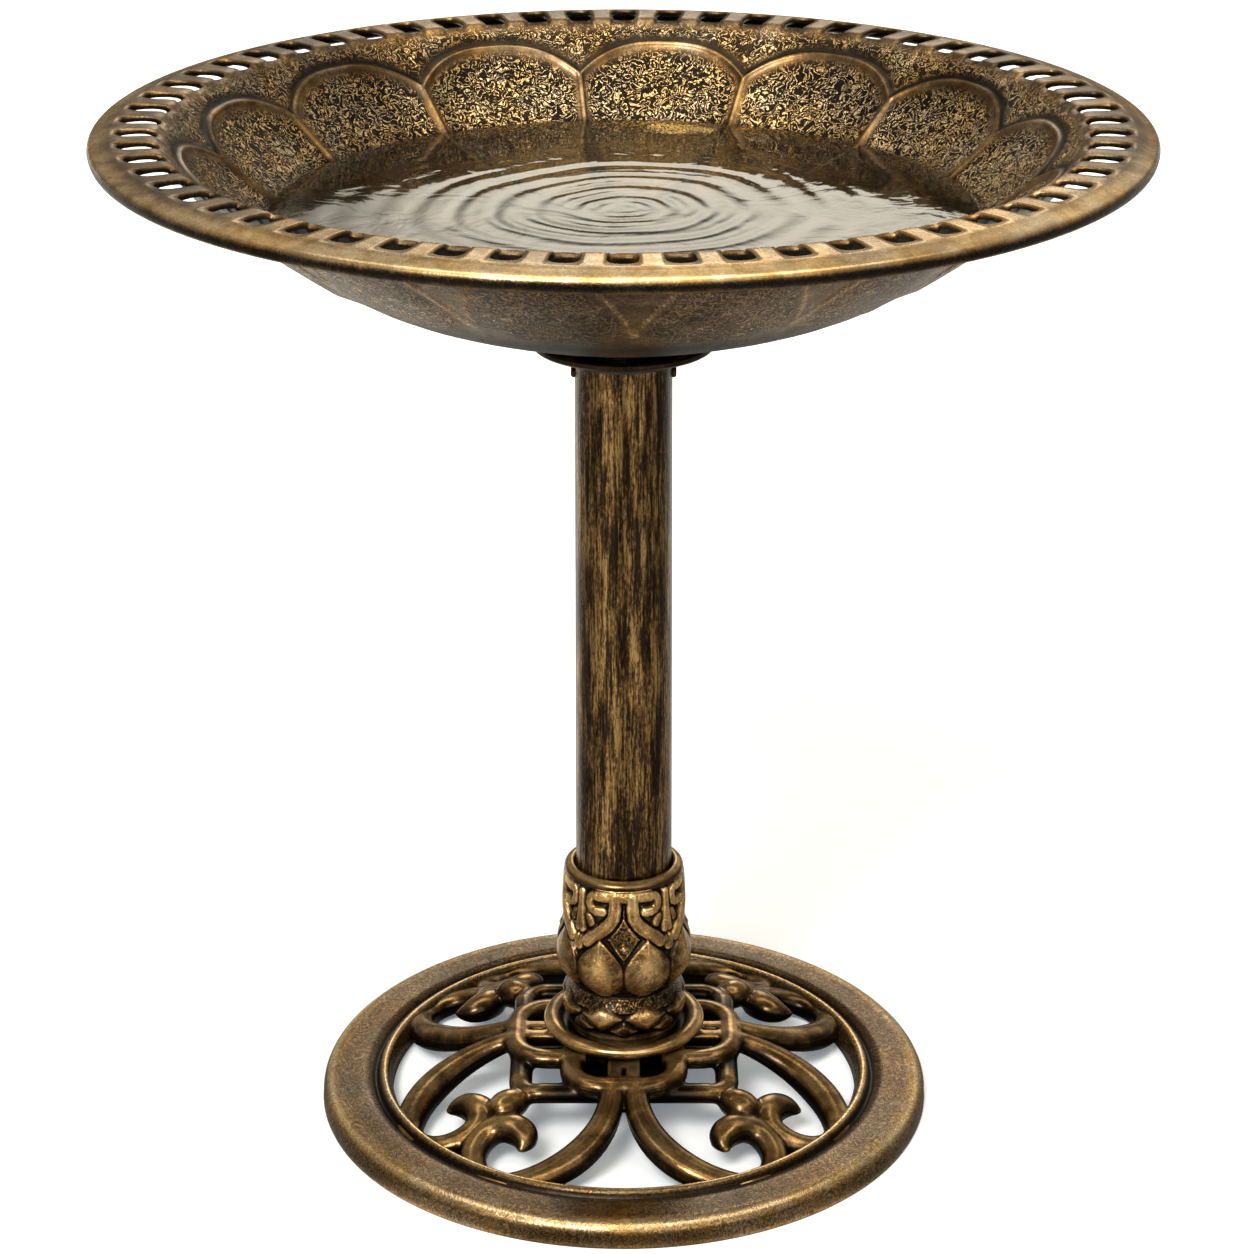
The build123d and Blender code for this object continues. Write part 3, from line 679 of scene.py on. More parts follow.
FINISHES = (
    BronzeFinish(
        "bowl_bronze", Grain.HAMMERED, 300, 0.55, wear=0.50, grain_show=0.95, cloud_show=0.26, wear_and_highlight_show=0.40,
        masked=True, warmth=0.3, cloud_scale=20.0),
    BronzeFinish(
        "column_bronze", Grain.STREAKED, 760, 0.30, wear=0.385, grain_show=0.58, cloud_show=0.30, wear_and_highlight_show=0.0,
        warmth=1.0, gloss=0.62),
    BronzeFinish(
        "trim_bronze", Grain.HAMMERED, 420, 0.25, wear=0.24, grain_show=0.80, cloud_show=0.46, wear_and_highlight_show=0.52,
        edge_show=0.55, hollow_show=0.80, masked=True, warmth=0.9, cloud_scale=95.0, gloss=0.55),
    BronzeFinish(
        "ring_bronze", Grain.CAST, 250, 0.06, wear=0.44, grain_show=0.26, cloud_show=0.16, wear_and_highlight_show=0.50,
        warmth=0.3, gloss=0.85),
    BronzeFinish(
        "base_bronze", Grain.SATIN, 300, 0.05, wear=0.22, grain_show=0.18, cloud_show=0.36, wear_and_highlight_show=0.38,
        edge_show=0.42, hollow_show=0.95, warmth=0.8, cloud_scale=50.0, gloss=0.58),
    BronzeFinish(
        "plain_bronze", Grain.SATIN, 260, 0.05, wear=0.32, grain_show=0.16, cloud_show=0.22, wear_and_highlight_show=0.46,
        warmth=0.8, cloud_scale=50.0, gloss=0.72),
    BronzeFinish(
        "lock_bronze", Grain.SATIN, 240, 0.10, wear=0.24, grain_show=0.20, cloud_show=0.18, wear_and_highlight_show=0.0),
    PlainFinish("black_resin", (0.010, 0.010, 0.011), (0.022, 0.021, 0.020), (0.38, 0.52)),
    PlainFinish("zinc_steel", (0.42, 0.43, 0.44), (0.62, 0.63, 0.65), (0.28, 0.42), 1.0, 520, 0.02),
    PlainFinish(
        "spring_steel", (0.28, 0.29, 0.31), (0.46, 0.47, 0.50), (0.22, 0.36), 1.0, 400, 0.02,
        (1.0, 1.0, 4.0)),
    PlainFinish("black_rubber", (0.012, 0.012, 0.012), (0.026, 0.026, 0.027), (0.66, 0.82)),
)


class Paintbox:
    """Makes each finish once and paints pieces with it."""

    def __init__(self) -> None:
        """Build the shared effects and every finish."""
        effects = Effects()
        self.materials = {finish.name: finish.make(effects) for finish in FINISHES}
        self.materials["water"] = WaterFinish().make()

    def paint(self, obj: Mesh, name: str) -> None:
        """Give obj one finish all over."""
        obj.data.materials.clear()
        obj.data.materials.append(self.materials[name])


# ------------------------------------------------------------------ bowl
@dataclass
class Bowl:
    """The petalled bowl with its pierced rim, and the water in it. Sizes are millimetres."""

    floor_z: float           # underside of the bowl's floor
    crown_z: float           # top of the rim
    outer_r: float           # radius of the lip
    columns: int = 840
    petals: int = 14
    slots: int = 60
    petal_turn: int = 406    # column of the rear petal's middle
    cusp_r: float = 199.5    # where two petals' tops meet
    petal_r: float = 215.0   # top of a petal
    outside_turn: int = 34   # column of the middle of a petal as seen outside
    outside_cusp_r: float = 166.0
    outside_petal_r: float = 224.0
    slot_columns: int = 4    # half the width of a slot
    slot_inner: float = 34.6  # from the lip to the slot's inner end
    slot_outer: float = 13.6
    slot_corner: float = 6.0
    slot_half: float = 7.0
    foot_r: float = 47.5
    wall_t: float = 3.1
    lip_w: float = 9.0       # width of the rolled lip
    lip_shade_band: float = 6.9  # how far below the crown the lip's painted shade band, with its speckles, runs
    water_z: float = 495.5
    wet_r: float = 178.0     # radius of the water line
    border: float = 0.75     # height of the line round each petal
    scoop: float = 2.3       # hollow of a petal inside
    swell: float = 1.3       # bulge of a petal outside
    wall_inner: tuple[Point2, ...] = (
        (0, 443.3), (56, 443.3), (66, 444.2), (79, 448.6), (108.6, 457.8), (138.2, 470.1), (169.7, 491.2),
        (192.3, 508.9), (212, 526.2), (222, 535.5), (226, 539.0), (229.5, 540.0), (246, 540.0))
    wall_outer: tuple[Point2, ...] = (
        (47.5, 433.5), (79.6, 444.9), (109.8, 454.2), (140.1, 466.6), (172.2, 487.8),
        (195.3, 505.6), (214, 521.8), (225.6, 532.3))

    def rings(self) -> list[float]:
        """Radii of the rings from the middle of the floor to the flange's outer edge."""
        floor = [0.0, 22.0, 43.9, 44.1, 47.3, 47.7]
        wall = list(np.linspace(56, 176, 14))
        petal = list(np.linspace(179.5, 206.8, 9))
        petal += [208.6, 209.3, 210.0, 210.8, 211.7, 213.4, 216.0, 219.2, 222.5]
        inner, outer = self.outer_r - self.slot_inner, self.outer_r - self.slot_outer
        slot = [inner, inner + 1.2, inner + 3.2, inner + 6.2, (inner + outer) / 2,
                outer - 6.2, outer - 3.2, outer - 1.2, outer]
        return floor + wall + petal + slot

    def nose(self) -> list[Point2]:
        """Profile of the lip from the flange's outer edge to the bottom of its skirt."""
        r, z = self.outer_r, self.crown_z
        crown = [(r - 10.5, z - 0.35), (r - 7.6, z - 1.1), (r - 5.2, z - 2.1)]
        roll = arc((r - 3.9, z - 6.0), 3.9, 62, -18, 7)
        return crown + roll + [(r - 0.6, z - 8.6), (r - 1.3, z - 9.6)]

    def arch(self, column: Array, turn: int, cusp: float, top: float) -> tuple[Array, Array]:
        """Where the rounded tops of the petals run.

        Args:
            column: column number, counted from the front.
            turn: column of one petal's middle.
            cusp: radius where two petals meet.
            top: radius of a petal's top.

        Returns:
            The arch's radius, and the place across the petal from -1 to 1.
        """
        width = self.columns // self.petals
        across = ((column - turn + width / 2) % width) / (width / 2) - 1
        return cusp + (top - cusp) * (1 - np.abs(across) ** 2.6), across

    def shell(self) -> Mesh:
        """Spin the bowl's skin, pierce the rim, give it a wall and carve both faces."""
        radii = self.rings()
        heights = flowing(np.array(radii), self.wall_inner)
        profile = list(zip(radii, heights)) + self.nose()
        obj = lathe("bowl_shell", profile, self.columns)
        points, radius = measured(obj)
        if self._mean_upward(obj) < 0:
            with editing(obj):
                bpy.ops.mesh.flip_normals()
        around = np.round(azimuth(points) / (360 / self.columns)).astype(int)
        points = self._warp(points, radius, around)
        write_points(obj, points * MM)
        self._pierce(obj, radius, around)
        count = len(obj.data.vertices)
        modify(obj, "SOLIDIFY", thickness=self.wall_t * MM, offset=-1.0, use_even_offset=False)
        self._carve(obj, count)
        smooth(obj)
        return obj

    @staticmethod
    def _mean_upward(obj: Mesh) -> float:
        """Upward part of the face normals, weighed by area."""
        return sum(face.normal.z * face.area for face in obj.data.polygons)

    def _warp(self, points: Array, radius: Array, around: Array) -> Array:
        """Bend the rings of the petal zone so that one runs along the arches."""
        low, line, high = 176.0, 210.0, 222.5
        arch, _ = self.arch(around, self.petal_turn, self.cusp_r, self.petal_r)
        inside = (radius > low) & (radius <= line + 0.01)
        outside = (radius > line + 0.01) & (radius < high)
        moved = radius.copy()
        moved[inside] = low + (radius[inside] - low) * (arch[inside] - low) / (line - low)
        moved[outside] = high - (high - radius[outside]) * (high - arch[outside]) / (high - line)
        points = points.copy()
        widen(points, np.where(radius > 1, moved / np.maximum(radius, 1), 1))
        zone = inside | outside
        points[zone, 2] = flowing(moved[zone], self.wall_inner)
        return points

    def _pierce(self, obj: Mesh, radius: Array, around: Array) -> None:
        """Round the corners of the slots in the flange and cut them out."""
        pitch, near = self.columns // self.slots, 0.2
        inner, outer = self.outer_r - self.slot_inner, self.outer_r - self.slot_outer
        offset = (around + pitch // 2) % pitch - pitch // 2
        with editing(obj, "DESELECT"):
            bpy.ops.mesh.select_mode(type="FACE")
        for face in obj.data.polygons:
            ids = list(face.vertices)
            r = radius[ids]
            inside = r.min() > inner - near and r.max() < outer + near
            face.select = bool(inside and np.abs(offset[ids]).max() <= self.slot_columns)
        middle, half = (inner + outer) / 2, (outer - inner) / 2
        wide, round_r = self.slot_half, self.slot_corner
        along = radius - middle
        edge = (np.abs(offset) == self.slot_columns) & (np.abs(along) < half + near)
        edge |= (np.abs(np.abs(along) - half) < near) & (np.abs(offset) <= self.slot_columns)
        spread = np.radians(offset * 360 / self.columns)
        across = radius * spread * wide / (middle * math.radians(self.slot_columns * 360 / self.columns))
        across = np.clip(across, -wide, wide)
        over_x = np.sign(across) * np.maximum(np.abs(across) - (wide - round_r), 0)
        over_y = np.sign(along) * np.maximum(np.abs(along) - (half - round_r), 0)
        corner = edge & (np.abs(over_x) > 0) & (np.abs(over_y) > 0)
        pull = np.where(corner, round_r / np.maximum(np.hypot(over_x, over_y), 1e-6), 1)
        across = across - over_x + over_x * pull
        reach = middle + (along - over_y + over_y * pull)
        points = read_points(obj) / MM
        centre = np.radians(azimuth(points)) - spread
        points[edge, 0] = (np.sin(centre) * reach + np.cos(centre) * across)[edge]
        points[edge, 1] = (-np.cos(centre) * reach + np.sin(centre) * across)[edge]
        write_points(obj, points * MM)
        activate(obj)
        bpy.ops.object.mode_set(mode="EDIT")
        bpy.ops.mesh.delete(type="FACE")
        bpy.ops.object.mode_set(mode="OBJECT")

    def _inside_relief(self, radius: Array, column: Array) -> tuple[Array, ...]:
        """Height, wear and highlight mask, and hammered mask of the bowl's inner face."""
        arch, across = self.arch(column, self.petal_turn, self.cusp_r, self.petal_r)
        half = math.pi * radius / self.petals
        side = (1 - np.abs(across)) * half
        above = (radius - arch) * (0.62 + 0.38 * (1 - np.abs(across)))
        wall = ease(radius, 60, 90) * ease(-radius, -223.5, -221.5)
        border = np.where(above < 0, np.minimum(-above, side), above)
        line = bell(border, 0.72) * ease(radius, 90, 120)
        groove = np.where(above > 0, bell(above - 2.4, 1.2), 0) * 0.8
        seam = bell(side, 1.5) * ease(above, 1.0, 3.0)
        depth = 1 - (1 - np.clip(border / 17, 0, 1)) ** 2
        hollow = np.where(above < 0, depth, 0) * self.scoop
        shade = np.where(above < 0, bell(side - 2.3, 1.0) * 0.5, 0)
        height = (line * self.border - groove - seam * 0.8 - hollow - shade * 0.4) * wall
        hammered = np.where(above < 0, ease(border, 1.5, 6), 0.75 * ease(above, 2, 5)) * wall
        # The border lines are painted dimmer under the water, as the water darkens them; the band above the
        # arches is lighter gold; a painted highlight sits low in the middle of each petal, just above the
        # water.
        wear_and_highlight = line * 0.30 * (0.25 + 0.75 * ease(radius, 170, 182)) + 0.22 * ease(above, 2.5, 8)
        wear_and_highlight += 0.26 * bell(radius - 186, 10) * (1 - np.abs(across) ** 1.5) * (above < 0)
        return height, np.where(wall > 0.01, wear_and_highlight, 0), hammered

    def _outside_relief(self, radius: Array, column: Array) -> tuple[Array, ...]:
        """Height, wear and highlight mask, and hammered mask of the bowl's outer face."""
        arch, across = self.arch(column, self.outside_turn, self.outside_cusp_r, self.outside_petal_r)
        half = math.pi * radius / self.petals
        side = (1 - np.abs(across)) * half
        above = (radius - arch) * (0.45 + 0.55 * (1 - np.abs(across)))
        wall = ease(radius, 60, 90) * ease(-radius, -222, -216)
        border = np.where(above < 0, np.minimum(-above, side + 60 * ease(-radius, -168, -160)), above)
        line = bell(border, 1.2) * ease(radius, 158, 164)
        sill = 156 + 7 * across**2
        ledge = ease(radius - sill, -1.5, 2.5)
        swell = np.where(above < 0, 1 - (1 - np.clip(-above / 30, 0, 1)) ** 2, 0) * self.swell
        nub = bell(np.hypot(side, radius - 165), 3.2)
        height = (line * 0.9 + ledge * (0.7 + swell) + nub * 2.0) * wall
        hammered = (0.22 + 0.30 * (above < 0) * ease(border, 2, 9)) * wall * (0.4 + 0.6 * ledge)
        wear_and_highlight = line * 0.8 + nub * 0.5
        return height, wear_and_highlight * wall, hammered * 0.8

    def _carve(self, obj: Mesh, count: int) -> None:
        """Set both faces of the wall to their relief and write the masks."""
        points, radius = measured(obj)
        column = azimuth(points) / (360 / self.columns)
        top = np.arange(len(points)) < count
        zone = radius < self.outer_r - self.slot_inner - 0.3
        inner = top & zone
        outer = ~top & zone
        wear_and_highlight, hammered = np.zeros(len(points)), np.zeros(len(points))
        height, wear_and_highlight_in, hammered_in = self._inside_relief(radius[inner], column[inner])
        lean = self._lean(radius[inner], self.wall_inner)
        points[inner] = self._push(points[inner], radius[inner], height, lean)
        wear_and_highlight[inner], hammered[inner] = wear_and_highlight_in, hammered_in
        radius_out = radius[outer]
        points[outer, 2] = np.where(
            radius_out < 44.0, self.floor_z,
            np.where(radius_out <= self.foot_r, self.wall_outer[0][1], flowing(radius_out, self.wall_outer)))
        height, wear_and_highlight_out, hammered_out = self._outside_relief(radius_out, column[outer])
        lean = self._lean(radius_out, self.wall_outer)
        points[outer] = self._push(points[outer], radius_out, -height, lean)
        wear_and_highlight[outer], hammered[outer] = wear_and_highlight_out, hammered_out
        drop = self.crown_z - points[:, 2]
        lip = ~zone & (radius > self.outer_r - self.lip_w)
        # Painted light: the flange and the top of the lip are painted lighter towards the front, a little to
        # the right.
        front = ease((0.24 * points[:, 0] - points[:, 1]) / np.maximum(radius, 1), 0.25, 0.98)
        wear_and_highlight[~zone] = 0.60 * front[~zone]
        wear_and_highlight[lip] *= ease(-drop[lip], -4.0, -1.0)
        # A painted highlight runs round the top of the lip's roll, stronger at the front, with a thin light
        # line round the lip's lower edge.
        wear_and_highlight[lip] += (0.45 + 0.5 * front[lip]) * bell(drop[lip] - 2.6, 1.9) + 0.5 * bell(drop[lip] - 9.4, 0.7)
        hammered[~zone] = 0.05
        hammered[lip] = 0.30 * bell(drop[lip] - self.lip_shade_band, 1.7)
        points[:, 2] = np.minimum(points[:, 2], self.crown_z)
        write_points(obj, points * MM)
        write_mask(obj, "wear_and_highlight", wear_and_highlight)
        write_mask(obj, "hammered", hammered)
        # Painted shade: a dark band round the lip's roll; the undersides of the flange and lip, the slot walls
        # and the outside just under the flange painted dark; the lower outside darker too.
        shadowed = np.where(lip, 0.75 * bell(drop - self.lip_shade_band, 1.7), 0.0)
        shadowed[~top & ~zone & ~lip] = 1.0
        shadowed[outer] = np.maximum(ease(radius[outer], 205, 224), 0.6 * ease(-radius[outer], -156, -140))
        shadowed[~top & lip] = 0.9
        arch, _ = self.arch(column[inner], self.petal_turn, self.cusp_r, self.petal_r)
        # Painted shade: a dark line just outside each petal's border above the water, and the wall painted
        # dark under the water.
        behind = bell(radius[inner] - arch - 2.6, 1.5) * ease(radius[inner], self.wet_r, self.wet_r + 12)
        shadowed[inner] = 0.65 * behind + 0.90 * ease(-radius[inner], -self.wet_r, -self.wet_r + 5)
        write_mask(obj, "shadowed", shadowed)

    @staticmethod
    def _lean(radius: Array, wall: Sequence[Point2]) -> Array:
        """Slope angle of a wall face at these radii."""
        return np.arctan2(flowing(radius + 0.5, wall) - flowing(radius - 0.5, wall), 1.0)

    @staticmethod
    def _push(points: Array, radius: Array, height: Array, lean: Array) -> Array:
        """Move points square to the wall, up and inwards for a positive height."""
        moved = points.copy()
        widen(moved, 1 - height * np.sin(lean) / np.maximum(radius, 1))
        moved[:, 2] += height * np.cos(lean)
        return moved

    def water(self) -> Mesh:
        """Pool of water with rings running out from its middle."""
        radii, heights = zip(*self.wall_inner[1:])
        reach = float(np.interp(self.water_z, heights, radii))
        surface = [(r, self.water_z) for r in np.linspace(0, reach + 1.2, 116)]
        inwards = np.linspace(reach, 0, 16)
        under = list(zip(inwards, flowing(inwards, self.wall_inner) - 1.2))
        obj = lathe("water_fill", surface + under, 180)
        points, radius = measured(obj)
        turn = np.radians(azimuth(points))
        top = np.abs(points[:, 2] - self.water_z) < 0.05
        wobble = 3.4 * np.sin(2 * turn + 0.6) + 2.2 * np.sin(3 * turn + 2.1) + 1.2 * np.sin(7 * turn + 0.3)
        phase = (radius + wobble * radius / 90) * math.tau
        fade = ease(-radius, -reach + 4, -reach + 30) * ease(radius, 2, 14)
        patchy = 0.55 + 0.45 * np.sin(3 * turn + radius / 13)
        wave = 0.19 * np.cos(phase / 9.5) * bell(radius, 75) * patchy
        wave += 0.15 * np.cos(phase / 19 + 1.3) * bell(radius - 60, 60)
        wave += 0.03 * np.cos(phase / 31 + 0.4 + 0.5 * np.sin(3 * turn))
        points[top, 2] += (wave * fade)[top]
        write_points(obj, points * MM)
        smooth(obj)
        return obj


# ------------------------------------------------------------------ urn
@dataclass
class Urn:
    """The leafy sleeve round the foot of the column. Sizes are millimetres."""

    foot_z: float
    top_z: float
    bore_r: float
    columns: int = 432
    row: float = 0.66        # height of one row of faces
    motifs: int = 4
    leaves: int = 8
    skin: float = 2.9        # depth of the plain sleeve below its outline
    hook_r: float = 34.0     # radius that widths round the sleeve are measured at
    leaf_r: float = 34.5
    outline: tuple[Point2, ...] = (
        (41.5, 29.5), (44, 30.2), (47, 31.6), (50, 33.0), (54, 34.0), (58, 34.2), (61.5, 33.7), (64.5, 31.8),
        (67, 29.9), (69.5, 29.4), (72, 30.6), (75, 33.0), (80, 35.9), (86, 37.0), (91, 36.8), (97, 35.5),
        (103, 34.2), (110, 33.2), (120, 32.4), (128, 31.9), (134, 31.5))

    def sleeve(self) -> Mesh:
        """Spin the sleeve and raise its leaves, hooks and petals."""
        rows = int((self.top_z - self.foot_z) / self.row)
        heights = np.linspace(self.foot_z, self.top_z, rows)
        outer = list(zip(flowing(heights, self.outline) - self.skin, heights))
        outer[-1] = (self.outline[-1][1] - 0.6, self.top_z)
        profile = outer + [(self.bore_r, self.top_z), (self.bore_r, self.foot_z)]
        obj = lathe("urn_relief", profile, self.columns, closed=True)
        points, radius = measured(obj)
        face = (radius > self.bore_r + 0.5) & (points[:, 2] < self.top_z - 0.05)
        height, wear_and_highlight, hammered = self._relief(azimuth(points), points[:, 2])
        widen(points, np.where(face, 1 + height / radius, 1))
        write_points(obj, points * MM)
        write_mask(obj, "wear_and_highlight", np.where(face, wear_and_highlight, 0))
        write_mask(obj, "hammered", np.where(face, hammered, 0))
        smooth(obj)
        return obj

    def _relief(self, az: Array, z: Array) -> tuple[Array, ...]:
        """Height above the ground, wear and highlight mask, and hammered mask."""
        wide = 360 / self.motifs
        x = np.abs(np.radians((az + wide / 2) % wide - wide / 2) * self.hook_r)
        small = 360 / self.leaves
        leaf_x = np.radians(az % small - small / 2) * self.leaf_r
        half = math.pi * self.leaf_r / self.leaves
        hook = self._bar(x, z, [(-3, 130.2), (8, 130.4), (16.0, 130.1)], 3.7, 3.2)
        hook = np.maximum(hook, self._bar(x, z, arc((16.6, 125.8), 4.5, 90, -95, 9), 3.1, 2.9))
        hook = np.maximum(hook, self._bar(x, z, [(16.2, 121.4), (12.6, 121.4)], 3.2, 3.3))
        sweep = [
            (5.2, 130), (5.0, 124), (5.8, 118.5), (8.6, 114.2), (12.6, 110.6), (17.2, 107.2), (21.0, 103.8)]
        band = self._bar(x, z, sweep, 4.1, 3.7)
        sprig = self._bar(x, z, [(21.6, 117.0), (19.6, 113.6)], 2.8, 2.4)
        sprig = np.maximum(sprig, self._bar(x, z, [(24.6, 103.6), (26.2, 99.8)], 3.1, 2.8))
        tall = self._bar(x, z, [(26.7, 130), (26.3, 119), (25.0, 109.5)], 2.9, 3.0)
        tip = np.clip((119.5 - z) / 13.5, 0, 1) ** 1.35
        lozenge_half = 10.2 * np.where(z > 106, tip, np.clip((z - 94.5) / 11.5, 0, 1))
        inside = 1 - x / np.maximum(lozenge_half, 0.01)
        lozenge = 1.9 * np.sqrt(np.clip(inside * 4, 0, 1)) * (inside > 0)
        stud = 1.2 * np.clip(1 - (x + np.abs(z - 101.6)) / 3.6, 0, 1)
        lozenge = np.where(inside > 0, lozenge + stud, 0)
        petal_half = flowing(z, [
            (70, 3), (73, 9.5), (78, 12.6), (86, 13.7), (92, 12.6), (97, 9.3), (101, 5.4), (105.5, 0.4)])
        petal_half = np.where((z < 70.5) | (z > 105.4), 0.01, petal_half)
        petal_in = np.where(petal_half > 0.3, np.clip(1 - (leaf_x / petal_half) ** 2, 0, 1), 0)
        petal = 2.9 * petal_in**0.33 + 0.35 * bell(leaf_x, 1.1) * ease(z, 90, 102) * (petal_in > 0)
        rise = np.abs(z - 58.6) / np.where(z > 58.6, 6.8, 9.5)
        diamond_in = 1 - (np.abs(leaf_x) / half) ** 1.15 - rise**1.15
        diamond = 2.9 * np.clip(diamond_in * 1.5, 0, 1) ** 0.5
        from_gap = half - np.abs(leaf_x)
        low_in = 1 - from_gap / 9.5 - np.abs(z - 50.5) / np.where(z > 50.5, 6.6, 5.0)
        low = 1.8 * np.clip(low_in * 2.2, 0, 1) ** 0.6
        upper = np.maximum.reduce([hook, band, sprig, tall, lozenge])
        lower = np.maximum.reduce([diamond, low])
        plain = 2.2 * ease(-z, -48.5, -45.0)
        height = np.maximum.reduce([upper * ease(z, 92, 96), petal, lower, plain])
        waist = ease(z, 60.5, 62.5) * ease(-z, -71.5, -68)
        height = np.maximum(height, 1.25 * waist)
        wear_and_highlight = np.clip((height - 0.9) / 2.0, 0, 1) ** 1.3
        hammered = np.maximum(waist * (lower < 0.8), 0.55 * (inside > 0.1) * (z > 94))
        hammered = np.maximum(hammered, 0.20 * (height > 1.6))
        wear_and_highlight = np.maximum(wear_and_highlight, 0.40 * (inside > 0.08) * (z > 95)) - 0.2 * waist * (lower < 0.8)
        return height, wear_and_highlight, hammered

    def collar(self, crest_z: float, outer_r: float) -> Mesh:
        """Rounded ring that finishes the top of the sleeve against the column."""
        crest_r = self.bore_r + 1.3
        profile = [(self.bore_r, self.top_z), (outer_r - 0.9, self.top_z), (outer_r - 0.3, self.top_z + 0.5)]
        for step in np.radians(np.linspace(82, 0, 10)):
            reach = crest_r + (outer_r - crest_r) * math.sin(step)
            profile.append((reach, crest_z - 3.4 * (1 - math.cos(step))))
        profile.append((self.bore_r, crest_z - 0.5))
        obj = lathe("urn_collar", profile, 240, closed=True)
        points, radius = measured(obj)
        # The collar's crest is painted light: rubbed gold with a painted highlight.
        high = ease(points[:, 2], crest_z - 3, crest_z - 0.5)
        write_mask(obj, "wear_and_highlight", 0.9 * high * ease(radius, self.bore_r, self.bore_r + 2))
        smooth(obj)
        return obj

    @staticmethod
    def _bar(x: Array, z: Array, path: Sequence[Point2], half: float, height: float) -> Array:
        """A rounded bar laid along a path.

        Args:
            x: place round the sleeve.
            z: height.
            path: corners of the path.
            half: half the bar's width.
            height: how far it stands up.

        Returns:
            The bar's height at each place.
        """
        nearest = np.full_like(z, 1e9)
        for (ax, az), (bx, bz) in zip(path, path[1:]):
            dx, dz = bx - ax, bz - az
            t = np.clip(((x - ax) * dx + (z - az) * dz) / (dx * dx + dz * dz), 0, 1)
            nearest = np.minimum(nearest, np.hypot(x - ax - t * dx, z - az - t * dz))
        return height * np.clip(1 - (nearest / half) ** 2.6, 0, 1) ** 0.45


